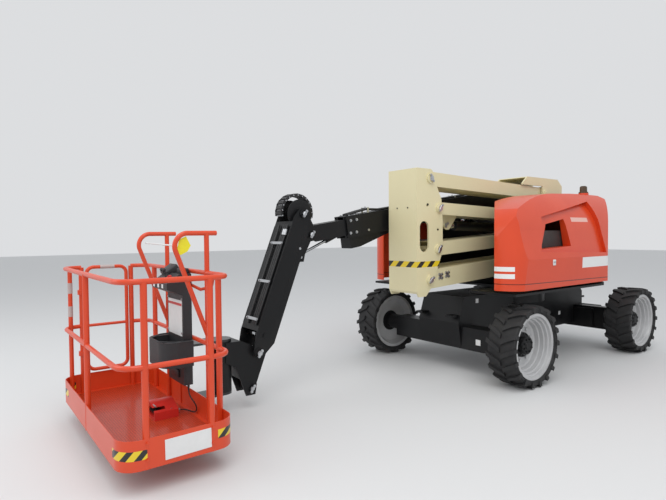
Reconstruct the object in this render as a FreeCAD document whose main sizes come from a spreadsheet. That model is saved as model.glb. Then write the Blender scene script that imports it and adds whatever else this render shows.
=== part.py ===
"""Articulating boom lift: chassis, turntable, tower, main boom, jib and platform.

The slew axis is the vertical line through the middle of the chassis. Sizes are taken from it,
+X towards the steered axle, +Y to the machine's left, Z up from the ground. The whole model is
then shifted so that its origin is on the ground under the middle of its length and width.
"""
import FreeCAD, Part
import math
import os
import re
import Sketcher
from FreeCAD import Placement, Rotation, Vector

DOC = FreeCAD.newDocument("BoomLift")

# name, millimetres or degrees, meaning
SIZES = (
    ("pin_gap", 0.3, "running clearance around a pin or rod"),
    ("seat_gap", 0.3, "gap between a turning piece and what it sits on"),
    ("side_gap", 5, "gap beside a moving piece"),
    # wheels
    ("tyre_radius", 420, "outside of the tyre, over the lugs"),
    ("tyre_width", 320, "across the sidewalls"),
    ("lug_height", 26, "lugs above the tread"),
    ("lug_width", 50, "one lug, round the tyre"),
    ("lug_start", 12, "one lug, from the tread's middle"),
    ("lug_reach", 162, "one lug, from its start to past the shoulder"),
    ("lug_slant", 24, "lug off the wheel's axle line"),
    ("wheel_sides", 20, "flats round a wheel"),
    ("rim_radius", 338, "rim flange"),
    ("seat_radius", 320, "where the tyre sits on the rim"),
    ("well_radius", 306, "inside of the rim at its lips"),
    ("rim_width", 276, "across the flanges"),
    ("flange_thick", 8, "one flange"),
    ("step_width", 34, "each step inside the rim, along the axle"),
    ("step_depth", 20, "each step inside the rim, towards the axle"),
    ("disc_thick", 14, "rim disc"),
    ("disc_inset", 45, "disc face inwards of the wheel's middle"),
    ("hub_radius", 98, "wheel hub"),
    ("hub_outer", 62, "hub end outwards of the wheel's middle"),
    ("hub_inner", 100, "hub end inwards of the wheel's middle"),
    ("track", 2030, "wheel middle to wheel middle across"),
    ("wheelbase", 2500, "axle to axle"),
    # axles and steering
    ("beam_top", 520, "top of both axle beams above ground"),
    ("beam_bottom", 270, "underside of both axle beams"),
    ("beam_thick", 210, "axle beam along the machine"),
    ("fixed_reach", 740, "fixed axle beam end from the middle"),
    ("motor_radius", 92, "drive motor"),
    ("kingpin_y", 790, "kingpin from the middle"),
    ("kingpin_radius", 30, "kingpin"),
    ("knuckle_radius", 80, "knuckle body round the kingpin"),
    ("yoke_plate", 26, "upper and lower plates of a yoke"),
    ("yoke_reach", 48, "yoke plate past the kingpin"),
    ("steer_reach", 200, "steering arm pin behind the kingpin"),
    ("arm_plate", 24, "steering arm plate"),
    ("tie_radius", 20, "tie rod"),
    ("steer_barrel", 32, "steering cylinder outside radius"),
    ("steer_rod", 16, "steering rod radius"),
    ("steer_stroke", 260, "steering rod travel room"),
    ("steer_anchor", 40, "steering cylinder anchor left of the middle"),
    # frame
    ("frame_half", 300, "half width of the chassis frame"),
    ("frame_top", 850, "top of the chassis frame"),
    ("frame_bottom", 300, "underside of the chassis frame"),
    ("frame_nose", 1360, "frame end beyond the fixed axle"),
    ("frame_tail", 1370, "frame end above the steered axle"),
    ("tie_plate", 25, "plate of a tie-down lug"),
    ("tie_hole", 28, "radius of the hole in a tie-down lug"),
    ("ring_radius", 430, "slew ring seat"),
    ("ring_top", 900, "top of the lower slew ring"),
    # turntable
    ("deck_bottom", 930, "underside of the turntable deck"),
    ("deck_top", 955, "top of the turntable deck"),
    ("deck_nose", 1440, "front of the deck wings"),
    ("deck_half", 1050, "half width of the deck"),
    ("tail_radius", 1130, "deck and counterweight tail"),
    ("channel_half", 480, "half width of the open middle channel"),
    ("wall_thick", 12, "turntable side walls"),
    ("wall_top", 1800, "top of the turntable side walls"),
    ("weight_top", 1560, "top of the counterweight"),
    ("weight_front", 700, "front face of the counterweight"),
    # hoods
    ("hood_side", 1095, "hood side from the middle"),
    ("hood_bottom", 985, "hood's lower edge"),
    ("hood_belt", 1300, "crease along the hood"),
    ("hood_top", 2065, "hood's highest line"),
    ("hood_nose", 1500, "hood's front"),
    ("hood_tail", 1170, "hood's rear radius about the slew axis"),
    ("hood_wall", 12, "hood shell"),
    ("hood_inner", 500, "hood's inner edge from the middle"),
    ("recess_depth", 40, "how far the hood's flank panel is set in"),
    ("collar_depth", 150, "how far the window's collar reaches in from the hood's side"),
    ("hinge_z", 1950, "hood hinge line above ground"),
    ("hinge_pin", 12, "hood hinge pin"),
    ("beacon_x", 400, "beacon behind the slew axis"),
    ("beacon_y", 800, "beacon right of the middle"),
    # tower
    ("tower_y", 162.5, "tower middle, right of the machine's middle"),
    ("tower_width", 415, "upright across its side plates"),
    ("cheek", 20, "upright side plate"),
    ("arm_width", 355, "tower arms across"),
    ("arm_wall", 12, "tower arm side wall"),
    ("arm_skin", 10, "tower arm top and bottom"),
    ("arm_length", 2200, "pin to pin of every tower arm"),
    ("tower_pin", 30, "tower pin radius"),
    ("pin_boss", 52, "boss round a tower pin"),
    ("low_pin_x", 250, "lowest arm's turntable pin, behind the slew axis"),
    ("low_pin_z", 1222, "lowest arm's turntable pin above ground"),
    ("low_tilt", 3.4, "lower arms fall to the front by this angle"),
    ("high_tilt", 1.8, "upper arms fall to the rear by this angle"),
    ("link_dx", 130, "second arm's pins behind the lowest arm's"),
    ("link_dz", 322, "second arm's pins above the lowest arm's"),
    ("high_dx", 6, "top arm's front pin behind the lowest arm's"),
    ("high_dz", 1063.5, "top arm's front pin above the lowest arm's"),
    ("third_dx", 140, "third arm's pins behind the top arm's"),
    ("third_dz", 307, "third arm's pins below the top arm's"),
    ("low_depth", 200, "lowest arm, top to bottom"),
    ("link_depth", 145, "second arm, top to bottom"),
    ("third_depth", 130, "third arm, top to bottom"),
    ("high_depth", 150, "top arm, top to bottom"),
    ("upright_front", 194, "upright's front face ahead of the lowest pin"),
    ("upright_rear", 200, "upright's rear edge behind the lowest pin"),
    ("upright_head", 1160, "upright's top above the lowest pin"),
    ("upright_foot", 170, "upright's lobe below the lowest pin"),
    ("slot_x", 85, "front upright's slot, ahead of its lowest pin"),
    ("slot_width", 135, "front upright's slot, across"),
    ("slot_low", 295, "slot's lower end above the lowest pin"),
    ("slot_high", 616, "slot's upper end above the lowest pin"),
    ("lug_x", 315, "tower cylinder lug along the third arm"),
    ("lug_drop", 168, "tower cylinder lug pin below the third arm's pins"),
    ("seat_x", 1700, "tower cylinder seat along the second arm"),
    ("seat_rise", 125, "tower cylinder seat above the second arm's pins"),
    # main boom
    ("boom_y", 200, "main boom middle, left of the machine's middle"),
    ("boom_x", 500, "main boom pivot behind the slew axis"),
    ("boom_z", 2120, "main boom pivot above ground"),
    ("boom_tilt", 8.5, "main boom falls to the front by this angle"),
    ("boom_width", 200, "outer section across"),
    ("boom_depth", 230, "outer section, top to bottom"),
    ("boom_wall", 7, "outer section wall"),
    ("boom_length", 3210, "outer section beyond its pivot"),
    ("boom_tail", 90, "outer section behind its pivot"),
    ("boom_pin", 32, "main boom pivot pin radius"),
    ("fork_plate", 20, "rear upright plates beside the boom"),
    ("fly_width", 160, "fly section across"),
    ("fly_depth", 165, "fly section, top to bottom"),
    ("fly_wall", 7, "fly section wall"),
    ("fly_start", 110, "rear end of the fly beyond the boom pivot"),
    ("fly_reach", 3670, "knuckle pin beyond the boom pivot"),
    ("pad_length", 60, "wear pads at the outer section's mouth"),
    ("keel_length", 720, "deepened front of the outer section"),
    ("keel_depth", 110, "how much it is deepened"),
    # lift cylinder
    ("lift_x", 480, "lift cylinder's anchor behind the slew axis"),
    ("lift_z", 1340, "lift cylinder's anchor above ground"),
    ("lift_reach", 1200, "lift rod's eye along the boom"),
    ("lift_drop", 190, "lift rod's eye below the boom's line"),
    ("tower_barrel", 55, "tower cylinder outside radius"),
    ("tower_rod", 34, "tower rod radius"),
    ("tower_stroke", 880, "tower rod travel room"),
    ("lift_barrel", 58, "lift cylinder outside radius"),
    ("lift_rod", 34, "lift rod radius"),
    ("lift_stroke", 760, "lift rod travel room"),
    ("jib_stroke", 655, "jib rod travel room"),
    ("slave_stroke", 350, "levelling rod travel room"),
    ("eye_half", 48, "lugs beside a cylinder's eye, from its middle"),
    ("foot_half", 28, "half width of a cylinder's eye"),
    ("eye_pin", 20, "pins of the cylinders' eyes"),
    # jib
    ("jib_width", 310, "jib across its side plates"),
    ("jib_plate", 12, "jib side plates"),
    ("jib_length", 1360, "jib pin to pin"),
    ("jib_tilt", 68.5, "jib falls to the front by this angle"),
    ("jib_front", 85, "jib's front plate before its pin line"),
    ("jib_rear", 125, "jib's rear edge behind its pin line"),
    ("jib_pin", 22, "jib pin radius"),
    ("head_dx", 124, "jib's upper pin ahead of the knuckle pin"),
    ("head_dz", 199, "jib's upper pin above the knuckle pin"),
    ("level_dx", 42, "levelling link's pins ahead of the jib's"),
    ("level_dz", 336, "levelling link's pins below the jib's"),
    ("knuckle_plate", 15, "knuckle side plates"),
    ("knuckle_width", 200, "knuckle across its plates"),
    ("link_bar", 80, "levelling link bars, front to back"),
    ("link_bar_thick", 18, "levelling link bars across"),
    ("link_half", 62, "levelling link bars from the jib's middle"),
    ("slave_dx", 125, "levelling rod's eye ahead of the knuckle pin"),
    ("slave_dz", 224, "levelling rod's eye below the knuckle pin"),
    ("slave_back", 650, "levelling cylinder's anchor behind the knuckle pin"),
    ("slave_rise", 10, "levelling cylinder's anchor above the fly's line"),
    ("slave_barrel", 28, "levelling cylinder outside radius"),
    ("slave_rod", 14, "levelling rod radius"),
    ("jib_eye", 1200, "jib rod's eye along the jib"),
    ("jib_eye_drop", 4, "jib rod's eye behind the jib's pin line"),
    ("jib_barrel", 35, "jib cylinder outside radius"),
    ("jib_rod", 20, "jib rod radius"),
    # platform
    ("rotor_x", 4050, "platform turning axis ahead of the slew axis"),
    ("rotor_radius", 90, "rotary actuator"),
    ("rotor_bottom", 190, "underside of the rotary actuator"),
    ("rotor_top", 640, "top of the rotary actuator"),
    ("deck_front", 5200, "platform's outer edge ahead of the slew axis"),
    ("deck_depth", 750, "platform front to back"),
    ("deck_width", 1830, "platform side to side"),
    ("deck_corner", 130, "platform corner radius"),
    ("floor_z", 170, "underside of the platform"),
    ("floor_thick", 25, "platform floor"),
    ("toe_height", 187, "toe board above the underside"),
    ("toe_thick", 5, "toe board"),
    ("rail_radius", 18, "platform rails"),
    ("post_radius", 21, "platform posts"),
    ("rail_top", 1302, "top rail's middle above ground"),
    ("rail_mid", 785, "middle rail above ground"),
    ("gate_rear", 170, "gate latch post from the platform's inner side"),
    ("gate_front", 160, "gate hinge post from the platform's outer side"),
    ("gate_tube", 16, "gate tubes"),
    ("hoop_top", 1610, "top of the console guard"),
    ("hoop_half", 420, "console guard posts from the console's middle"),
    ("hoop_tail", 75, "console guard's top bar behind its post"),
    ("console_y", 80, "console middle, right of the platform's middle"),
    ("console_half", 165, "half width of the console"),
    ("console_foot", 430, "underside of the console above ground"),
    ("bracket_plate", 20, "plates above and below the rotary actuator"),
    ("footswitch_x", 4680, "foot pedal's middle ahead of the slew axis"),
    ("footswitch_y", -60, "foot pedal's middle left of the platform's middle"),
    ("gland_radius", 9, "glands of the foot pedal's cable"),
)

SHEET = DOC.addObject("Spreadsheet::Sheet", "Sizes")
for row, (alias, value, meaning) in enumerate(SIZES, start=1):
    SHEET.set("A%d" % row, meaning)
    SHEET.set("B%d" % row, str(value))
    SHEET.setAlias("B%d" % row, alias)
DOC.recompute()
NAMES = {alias for alias, value, meaning in SIZES}


def bound(formula):
    """A formula over the sizes, with each name pointed at its cell."""
    return re.sub(r"[a-z][a-z_]*", lambda m: "Sizes." + m.group() if m.group() in NAMES else m.group(),
                  str(formula))


def number(formula):
    """What a formula over the sizes comes to."""
    result = SHEET.evalExpression(bound(formula))
    return float(getattr(result, "Value", result))


ORIGIN_X = number("(deck_front - wheelbase / 2 - tyre_radius) / 2")


def place(piece, x=0.0, y=0.0, z=0.0, turn=None):
    """Put a piece where it belongs, measured from the slew axis."""
    piece.Placement = Placement(Vector(x + ORIGIN_X, y, z), turn or Rotation())


def pitch(degrees):
    """Turn about the machine's Y axis that raises the +X end by this angle."""
    return Rotation(Vector(0, 1, 0), -degrees)


def arc_edge(start, finish, radius):
    """Circle arc from start to finish, counterclockwise for a positive radius."""
    chord = finish - start
    half = chord.Length / 2
    rise = math.sqrt(max(radius * radius - half * half, 0.0))
    left = Vector(-chord.y, chord.x, 0).normalize()
    centre = (start + finish) * 0.5 + left * math.copysign(rise, radius)
    first, last = (start, finish) if radius > 0 else (finish, start)
    angles = [math.atan2(p.y - centre.y, p.x - centre.x) for p in (first, last)]
    if angles[1] <= angles[0]:
        angles[1] += 2 * math.pi
    return Part.ArcOfCircle(Part.Circle(centre, Vector(0, 0, 1), abs(radius)), *angles)


class Piece:
    """One sub-part: a body whose sketches and features are bound to the sizes."""

    def __init__(self, label):
        self.body = DOC.addObject("PartDesign::Body", label)
        self.body.Label = label
        self.label = label
        self.count = 0

    def sketch(self, plane, loops, offset="0", closed=True):
        """Sketch on an origin plane. A loop is (x, y) corners, or (x, y, r) where an arc of
        radius r leads on, or one circle as ("round", x, y, r)."""
        self.count += 1
        sketch = self.body.newObject("Sketcher::SketchObject", "%s_sketch%d" % (self.label, self.count))
        base = [f for f in self.body.Origin.OriginFeatures if f.Role == plane + "_Plane"][0]
        if plane == "XZ":
            offset = "-(%s)" % offset
        sketch.AttachmentSupport = [(base, "")]
        sketch.MapMode = "FlatFace"
        sketch.setExpression("AttachmentOffset.Base.z", bound(offset))
        for loop in loops:
            if loop[0] == "round":
                self.add_circle(sketch, *loop[1:])
            else:
                self.add_loop(sketch, loop, closed)
        return sketch

    def hold(self, sketch, kind, places, formula):
        """Add one dimension and bind it to its formula."""
        index = sketch.addConstraint(Sketcher.Constraint(kind, *places, number(formula)))
        sketch.setExpression("Constraints[%d]" % index, bound(formula))

    def add_circle(self, sketch, x, y, radius):
        centre = Vector(number(x), number(y), 0)
        edge = sketch.addGeometry(Part.Circle(centre, Vector(0, 0, 1), number(radius)), False)
        self.hold(sketch, "DistanceX", (-1, 1, edge, 3), x)
        self.hold(sketch, "DistanceY", (-1, 1, edge, 3), y)
        self.hold(sketch, "Radius", (edge,), radius)

    def add_loop(self, sketch, loop, closed):
        points = [Vector(number(corner[0]), number(corner[1]), 0) for corner in loop]
        ends = []
        last = len(loop) if closed else len(loop) - 1
        for index in range(last):
            start = points[index]
            finish = points[(index + 1) % len(points)]
            if len(loop[index]) == 3:
                radius = number(loop[index][2])
                edge = sketch.addGeometry(arc_edge(start, finish, radius), False)
                ends.append((edge, 1, 2) if radius > 0 else (edge, 2, 1))
                self.hold(sketch, "Radius", (edge,), "abs(%s)" % loop[index][2])
            else:
                ends.append((sketch.addGeometry(Part.LineSegment(start, finish), False), 1, 2))
        for index, (edge, first, second) in enumerate(ends):
            self.hold(sketch, "DistanceX", (-1, 1, edge, first), loop[index][0])
            self.hold(sketch, "DistanceY", (-1, 1, edge, first), loop[index][1])
            if index + 1 < len(ends):
                following = ends[index + 1]
                sketch.addConstraint(Sketcher.Constraint("Coincident", edge, second, *following[:2]))
            elif closed:
                sketch.addConstraint(Sketcher.Constraint("Coincident", edge, second, *ends[0][:2]))
            else:
                self.hold(sketch, "DistanceX", (-1, 1, edge, second), loop[-1][0])
                self.hold(sketch, "DistanceY", (-1, 1, edge, second), loop[-1][1])

    def feature(self, kind, suffix):
        return self.body.newObject("PartDesign::" + kind, "%s_%s%d" % (self.label, suffix, self.count))

    def pad(self, plane, loops, thick, offset="0"):
        """Add a plate that lies evenly about its plane."""
        sketch = self.sketch(plane, loops, offset)
        pad = self.feature("Pad", "pad")
        pad.Profile = sketch
        pad.SideType = "Symmetric"
        pad.setExpression("Length", bound(thick))
        return self

    def cut(self, plane, loops, thick, offset="0"):
        """Cut evenly about a plane."""
        sketch = self.sketch(plane, loops, offset)
        pocket = self.feature("Pocket", "cut")
        pocket.Profile = sketch
        pocket.SideType = "Symmetric"
        pocket.setExpression("Length", bound(thick))
        return self

    def turn(self, plane, loops, axis="V_Axis"):
        """Add a turned form about an axis of its sketch."""
        sketch = self.sketch(plane, loops)
        turned = self.feature("Revolution", "turn")
        turned.Profile = sketch
        turned.ReferenceAxis = (sketch, [axis])
        turned.Angle = 360.0
        return self

    def tube(self, plane, path, offset, cross_plane, centre, cross_offset, radius, closed=False):
        """Add a bar of TUBE_SIDES flats along a path; its corners lie on the radius."""
        spine = self.sketch(plane, [path], offset, closed)
        turns = [360.0 * index / TUBE_SIDES for index in range(TUBE_SIDES)]
        flats = [("%s + %s * cos(%g)" % (centre[0], radius, turn), "%s + %s * sin(%g)" % (centre[1], radius, turn))
                 for turn in turns]
        round_bar = self.sketch(cross_plane, [flats], cross_offset)
        pipe = self.feature("AdditivePipe", "tube")
        pipe.Profile = round_bar
        pipe.Spine = (spine, ["Edge%d" % (i + 1) for i in range(spine.GeometryCount)])
        return self


TUBE_SIDES = 12


def box(x_low, y_low, x_high, y_high):
    """Corners of a rectangle."""
    return [(x_low, y_low), (x_high, y_low), (x_high, y_high), (x_low, y_high)]


def rounded_bar(x_low, x_high, half):
    """Outline of a bar along X with half-round ends centred on x_low and x_high."""
    return [(x_low, "-(%s)" % half), (x_high, "-(%s)" % half, half), ("%s + %s" % (x_high, half), "0", half),
            (x_high, half), (x_low, half, half), ("%s - (%s)" % (x_low, half), "0", half)]


def rounded_box(half_x, half_y, radius, x_mid="0", y_mid="0"):
    """Outline of a rectangle with rounded corners."""
    low_x = "%s - (%s)" % (x_mid, half_x)
    high_x = "%s + %s" % (x_mid, half_x)
    low_y = "%s - (%s)" % (y_mid, half_y)
    high_y = "%s + %s" % (y_mid, half_y)
    plus = "%s + " + radius
    less = "%s - (" + radius + ")"
    return [(plus % low_x, low_y), (less % high_x, low_y, radius), (high_x, plus % low_y),
            (high_x, less % high_y, radius), (less % high_x, high_y), (plus % low_x, high_y, radius),
            (low_x, less % high_y), (low_x, plus % low_y, radius)]


# Places of the pins, as formulas over the sizes, from the slew axis (x) and the ground (z)
def along(reach, rise, tilt):
    """X and Z steps of a point (reach, rise) in a frame whose +X end is raised by tilt."""
    return ("((%s) * cos(%s) - (%s) * sin(%s))" % (reach, tilt, rise, tilt),
            "((%s) * sin(%s) + (%s) * cos(%s))" % (reach, tilt, rise, tilt))


def step(start, dx, dz):
    """The place a step away from another."""
    return "(%s + %s)" % (start[0], dx), "(%s + %s)" % (start[1], dz)


LOW_PIN = ("low_pin_x", "low_pin_z")
SECOND_PIN = step(LOW_PIN, "link_dx", "link_dz")
LOW_FRONT = step(LOW_PIN, *along("-arm_length", "0", "low_tilt"))
SECOND_FRONT = step(LOW_FRONT, "link_dx", "link_dz")
TOP_FRONT = step(LOW_FRONT, "high_dx", "high_dz")
THIRD_FRONT = step(TOP_FRONT, "third_dx", "-third_dz")
TOP_REAR = step(TOP_FRONT, *along("arm_length", "0", "-high_tilt"))
THIRD_REAR = step(TOP_REAR, "third_dx", "-third_dz")
TOWER_SEAT = step(SECOND_PIN, *along("seat_x - arm_length", "seat_rise", "low_tilt"))
TOWER_EYE = step(THIRD_FRONT, *along("lug_x", "-lug_drop", "-high_tilt"))
BOOM_PIN = ("boom_x", "boom_z")
LIFT_SEAT = ("lift_x", "lift_z")
LIFT_EYE = step(BOOM_PIN, *along("-lift_reach", "-lift_drop", "boom_tilt"))
KNUCKLE_PIN = step(BOOM_PIN, *along("-fly_reach", "0", "boom_tilt"))
SLAVE_SEAT = step(BOOM_PIN, *along("slave_back - fly_reach", "slave_rise", "boom_tilt"))
SLAVE_EYE = step(KNUCKLE_PIN, "-slave_dx", "-slave_dz")
JIB_TOP = step(KNUCKLE_PIN, "-head_dx", "head_dz")
LINK_TOP = step(JIB_TOP, "-level_dx", "-level_dz")
JIB_FOOT = step(JIB_TOP, *along("-jib_length", "0", "jib_tilt"))
LINK_FOOT = step(JIB_FOOT, "-level_dx", "-level_dz")
JIB_EYE = step(JIB_TOP, *along("-jib_eye", "-jib_eye_drop", "jib_tilt"))


def spot(formulas, y=0.0):
    """A pin's place as numbers."""
    return number(formulas[0]), y, number(formulas[1])


def outline(start, corners):
    """Corners given from a pin, as formulas; a corner may carry an arc's radius."""
    return [step(start, corner[0], corner[1]) + tuple(corner[2:]) for corner in corners]


def pin(piece, centre, radius, length, mid="0"):
    """A round pin or boss across the machine."""
    piece.pad("XZ", [("round", centre[0], centre[1], radius)], length, mid)


def bore(piece, centre, radius, length, mid="0"):
    """A round hole across the machine."""
    piece.cut("XZ", [("round", centre[0], centre[1], radius)], length, mid)


def stub_pin(piece, centre, outer, side):
    """Half of an open pivot's pin: from its carrier to just short of the rod's eye."""
    inner = "(foot_half + side_gap)"
    pin(piece, centre, "eye_pin", "%s - %s" % (outer, inner), "%s(%s + %s) / 2" % (side, outer, inner))


PIECES = []


def keep(piece, x=0.0, y=0.0, z=0.0, turn=None):
    """Finish a sub-part: put it in place and list it."""
    body = piece.body if isinstance(piece, Piece) else piece
    place(body, x, y, z, turn)
    PIECES.append(body)
    return body


CENTRE = ("0", "0")
TOWER_Y = -number("tower_y")
BOOM_Y = number("boom_y")
AXLE_X = number("wheelbase / 2")
TRACK_Y = number("track / 2")
HALF_TURN = Rotation(Vector(0, 0, 1), 180)


# Wheels, many-sided about their own axle line, outside towards +Y. The flats of rim and tyre meet.
LUGS_A_SIDE = 14


def flat_sided(label, rings):
    """Solid with flat sides through (radius to the flats, place along the axle) rings."""
    sections = []
    for index, (radius, across) in enumerate(rings):
        ring = DOC.addObject("Part::RegularPolygon", "%s_ring%d" % (label, index))
        ring.Polygon = int(number("wheel_sides"))
        ring.setExpression("Circumradius", bound("(%s) / cos(180 / wheel_sides)" % radius))
        ring.Placement.Rotation = Rotation(Vector(1, 0, 0), 90) * Rotation(Vector(0, 0, 1), number("180 / wheel_sides"))
        ring.setExpression("Placement.Base.y", bound(across))
        sections.append(ring)
    solid = DOC.addObject("Part::Loft", label)
    solid.Sections = sections
    solid.Solid = True
    solid.Ruled = True
    return solid


def combine(kind, label, first, second):
    """Cut the second solid from the first, or keep what they share."""
    result = DOC.addObject("Part::" + kind, label)
    result.Label = label
    result.Base = first
    result.Tool = second
    return result


def fuse(label, solids):
    whole = DOC.addObject("Part::MultiFuse", label)
    whole.Label = label
    whole.Shapes = solids
    return whole


def make_rim(label):
    """Rim with three steps down to its disc, and its hub."""
    edge = "rim_width / 2"
    lip = "(rim_width / 2 - flange_thick)"
    barrel = flat_sided(label + "_barrel", [("seat_radius", "-" + edge), ("seat_radius", edge)])
    flanges = [flat_sided("%s_flange%d" % (label, index), [("rim_radius", low), ("rim_radius", high)])
               for index, (low, high) in enumerate((("-" + edge, "-" + lip), (lip, edge)))]
    dish = [("well_radius", edge + " + 1")]
    for index in range(3):
        level = "%s - %d * step_width" % (edge, index)
        radius = "well_radius - %d * step_depth" % index
        dish += [(radius + " - 6", level + " - step_width + 6"), (radius + " - step_depth", level + " - step_width")]
    dish.append(("well_radius - 3 * step_depth - 12", "disc_thick - disc_inset"))
    outside = flat_sided(label + "_outside", dish)
    inside = flat_sided(label + "_inside", [("well_radius", "-%s - 1" % edge), ("well_radius - 24", "-disc_inset - 30"),
                                            ("well_radius - 40", "-disc_inset")])
    shell = combine("Cut", label + "_open", fuse(label + "_whole", [barrel] + flanges), outside)
    hollow = combine("Cut", label + "_hollow", shell, inside)
    hub = flat_sided(label + "_hub", [("hub_radius", "-hub_inner"), ("hub_radius", "hub_outer - 12"),
                                      ("hub_radius - 12", "hub_outer")])
    return fuse(label, [hollow, hub])


def make_lug(label, index, side):
    """Slanting lug whose outermost corners reach the tyre's radius."""
    half_run = "(lug_reach * sin(lug_slant) + lug_width / 2 * cos(lug_slant))"
    lug = DOC.addObject("Part::Box", "%s_lug%d%s" % (label, index, "a" if side > 0 else "b"))
    lug.setExpression("Length", bound("lug_width"))
    lug.setExpression("Width", bound("lug_reach"))
    lug.setExpression("Height", bound("lug_height + 30"))
    top = number("sqrt(tyre_radius^2 - %s^2)" % half_run)
    corner = math.degrees(math.atan2(number(half_run), top))
    stand = Placement(Vector(0, side * number("lug_start"), top - number("lug_height + 30")), Rotation(Vector(0, 0, 1), -side * number("lug_slant")))
    back = Placement(Vector(-number("lug_width / 2"), 0 if side > 0 else -number("lug_reach"), 0), Rotation())
    pitch_angle = 360.0 / LUGS_A_SIDE
    around = Rotation(Vector(0, 1, 0), 180 - corner + pitch_angle * (index + (0 if side > 0 else 0.5)))
    lug.Placement = Placement(Vector(), around) * stand * back
    return lug


def make_tyre(label):
    """Tyre with two rows of lugs that lean the same way round."""
    bead = "(rim_width / 2 - flange_thick)"
    half = [("rim_radius + seat_gap", bead), ("rim_radius + 3 * flange_thick", "tyre_width / 2 - 3"),
            ("tyre_radius - lug_height", "tyre_width / 2 - 6")]
    mirrored = [(radius, "-(%s)" % across) for radius, across in reversed(half)]
    carcass = flat_sided(label + "_carcass", half + mirrored)
    lugs = [make_lug(label, index, side) for index in range(LUGS_A_SIDE) for side in (1, -1)]
    bore_form = flat_sided(label + "_bore", [("seat_radius", "-tyre_width"), ("seat_radius", "tyre_width")])
    return combine("Cut", label, fuse(label + "_whole", [carcass] + lugs), bore_form)


WHEELS = (
    # end, X, side, Y, outside faces +Y
    ("front_left", -AXLE_X, TRACK_Y, None),
    ("front_right", -AXLE_X, -TRACK_Y, HALF_TURN),
    ("rear_left", AXLE_X, TRACK_Y, None),
    ("rear_right", AXLE_X, -TRACK_Y, HALF_TURN),
)
WHEEL_FORMS = (("rim_", make_rim("rim_form")), ("tyre_", make_tyre("tyre_form")))
for corner, wheel_x, wheel_y, facing in WHEELS:
    for prefix, form in WHEEL_FORMS:
        wheel_piece = DOC.addObject("Part::Compound", prefix + corner)
        wheel_piece.Label = prefix + corner
        wheel_piece.Links = [form]
        keep(wheel_piece, wheel_x, wheel_y, number("tyre_radius"), facing)

# Chassis frame with its fixed axle
HUB_FACE = "(track / 2 - hub_inner - seat_gap)"


def make_chassis():
    frame = Piece("chassis_frame")
    step_x = "wheelbase / 2 - beam_thick / 2 - 3 * side_gap"
    frame.pad("XZ", [[("-frame_nose", "frame_bottom"), (step_x, "frame_bottom"),
                      (step_x, "beam_top + yoke_plate"), ("frame_tail", "beam_top + yoke_plate"),
                      ("frame_tail", "frame_top - 120"), ("frame_tail - 120", "frame_top"),
                      ("60 - frame_nose", "frame_top"), ("-frame_nose - 40", "frame_top - 290")]],
              "2 * frame_half")
    frame.pad("XY", [("round", "0", "0", "ring_radius + 20")], "150", "frame_top - 75")
    frame.pad("XY", [("round", "0", "0", "ring_radius - 50")], "ring_top - frame_top", "(ring_top + frame_top) / 2")
    frame.pad("XY", [box("-wheelbase / 2 - beam_thick / 2", "-fixed_reach", "beam_thick / 2 - wheelbase / 2",
                         "fixed_reach")], "beam_top - beam_bottom", "(beam_top + beam_bottom) / 2")
    pin(frame, ("-wheelbase / 2", "tyre_radius"), "motor_radius", "2 * %s" % HUB_FACE)
    for tip, root, hole in (("-frame_nose - 120", "40 - frame_nose", "-frame_nose - 80"),
                            ("frame_tail + 120", "frame_tail - 40", "frame_tail + 80")):
        for side in ("", "-"):
            frame.pad("XY", [box(tip, side + "(frame_half - 125)", root, side + "(frame_half - 25)")], "tie_plate",
                      "frame_top - 210")
            frame.cut("XY", [("round", hole, side + "(frame_half - 75)", "tie_hole")], "3 * tie_plate", "frame_top - 210")
    return frame


keep(make_chassis())

# Steered axle, hung on a pin under the frame, with its knuckles
YOKE_TOP = "(beam_top + yoke_plate)"
YOKE_FOOT = "(beam_bottom - yoke_plate)"
KINGPIN_X = "wheelbase / 2"


def make_steer_axle():
    axle = Piece("steer_axle")
    half = "beam_thick / 2"
    axle.pad("XY", [box("wheelbase / 2 - " + half, "-(kingpin_y - 230)", "wheelbase / 2 + " + half,
                        "kingpin_y - 230")], "beam_top - beam_bottom", "(beam_top + beam_bottom) / 2")
    axle.pad("XY", [box("wheelbase / 2 - 60", "-(kingpin_y - knuckle_radius - 15)", "wheelbase / 2 + 60",
                        "kingpin_y - knuckle_radius - 15")], "beam_top - beam_bottom",
             "(beam_top + beam_bottom) / 2")
    for mid in ("beam_top + yoke_plate / 2", "beam_bottom - yoke_plate / 2"):
        axle.pad("XY", [box("wheelbase / 2 - 62", "-(kingpin_y + yoke_reach)", "wheelbase / 2 + 62",
                            "kingpin_y + yoke_reach")], "yoke_plate", mid)
    for side in ("", "-"):
        axle.pad("XY", [("round", KINGPIN_X, side + "kingpin_y", "kingpin_radius")],
                 "beam_top - beam_bottom + 2 * yoke_plate", "(beam_top + beam_bottom) / 2")
    axle.pad("YZ", [("round", "0", "(beam_top + beam_bottom) / 2", "60")], "beam_thick + 6 * side_gap",
             "wheelbase / 2")
    axle.pad("XY", [box("wheelbase / 2", "steer_anchor - 26", "wheelbase / 2 + steer_reach + 15",
                        "steer_anchor + 40")], "arm_plate", "beam_top - 50")
    return axle


keep(make_steer_axle())


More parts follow.
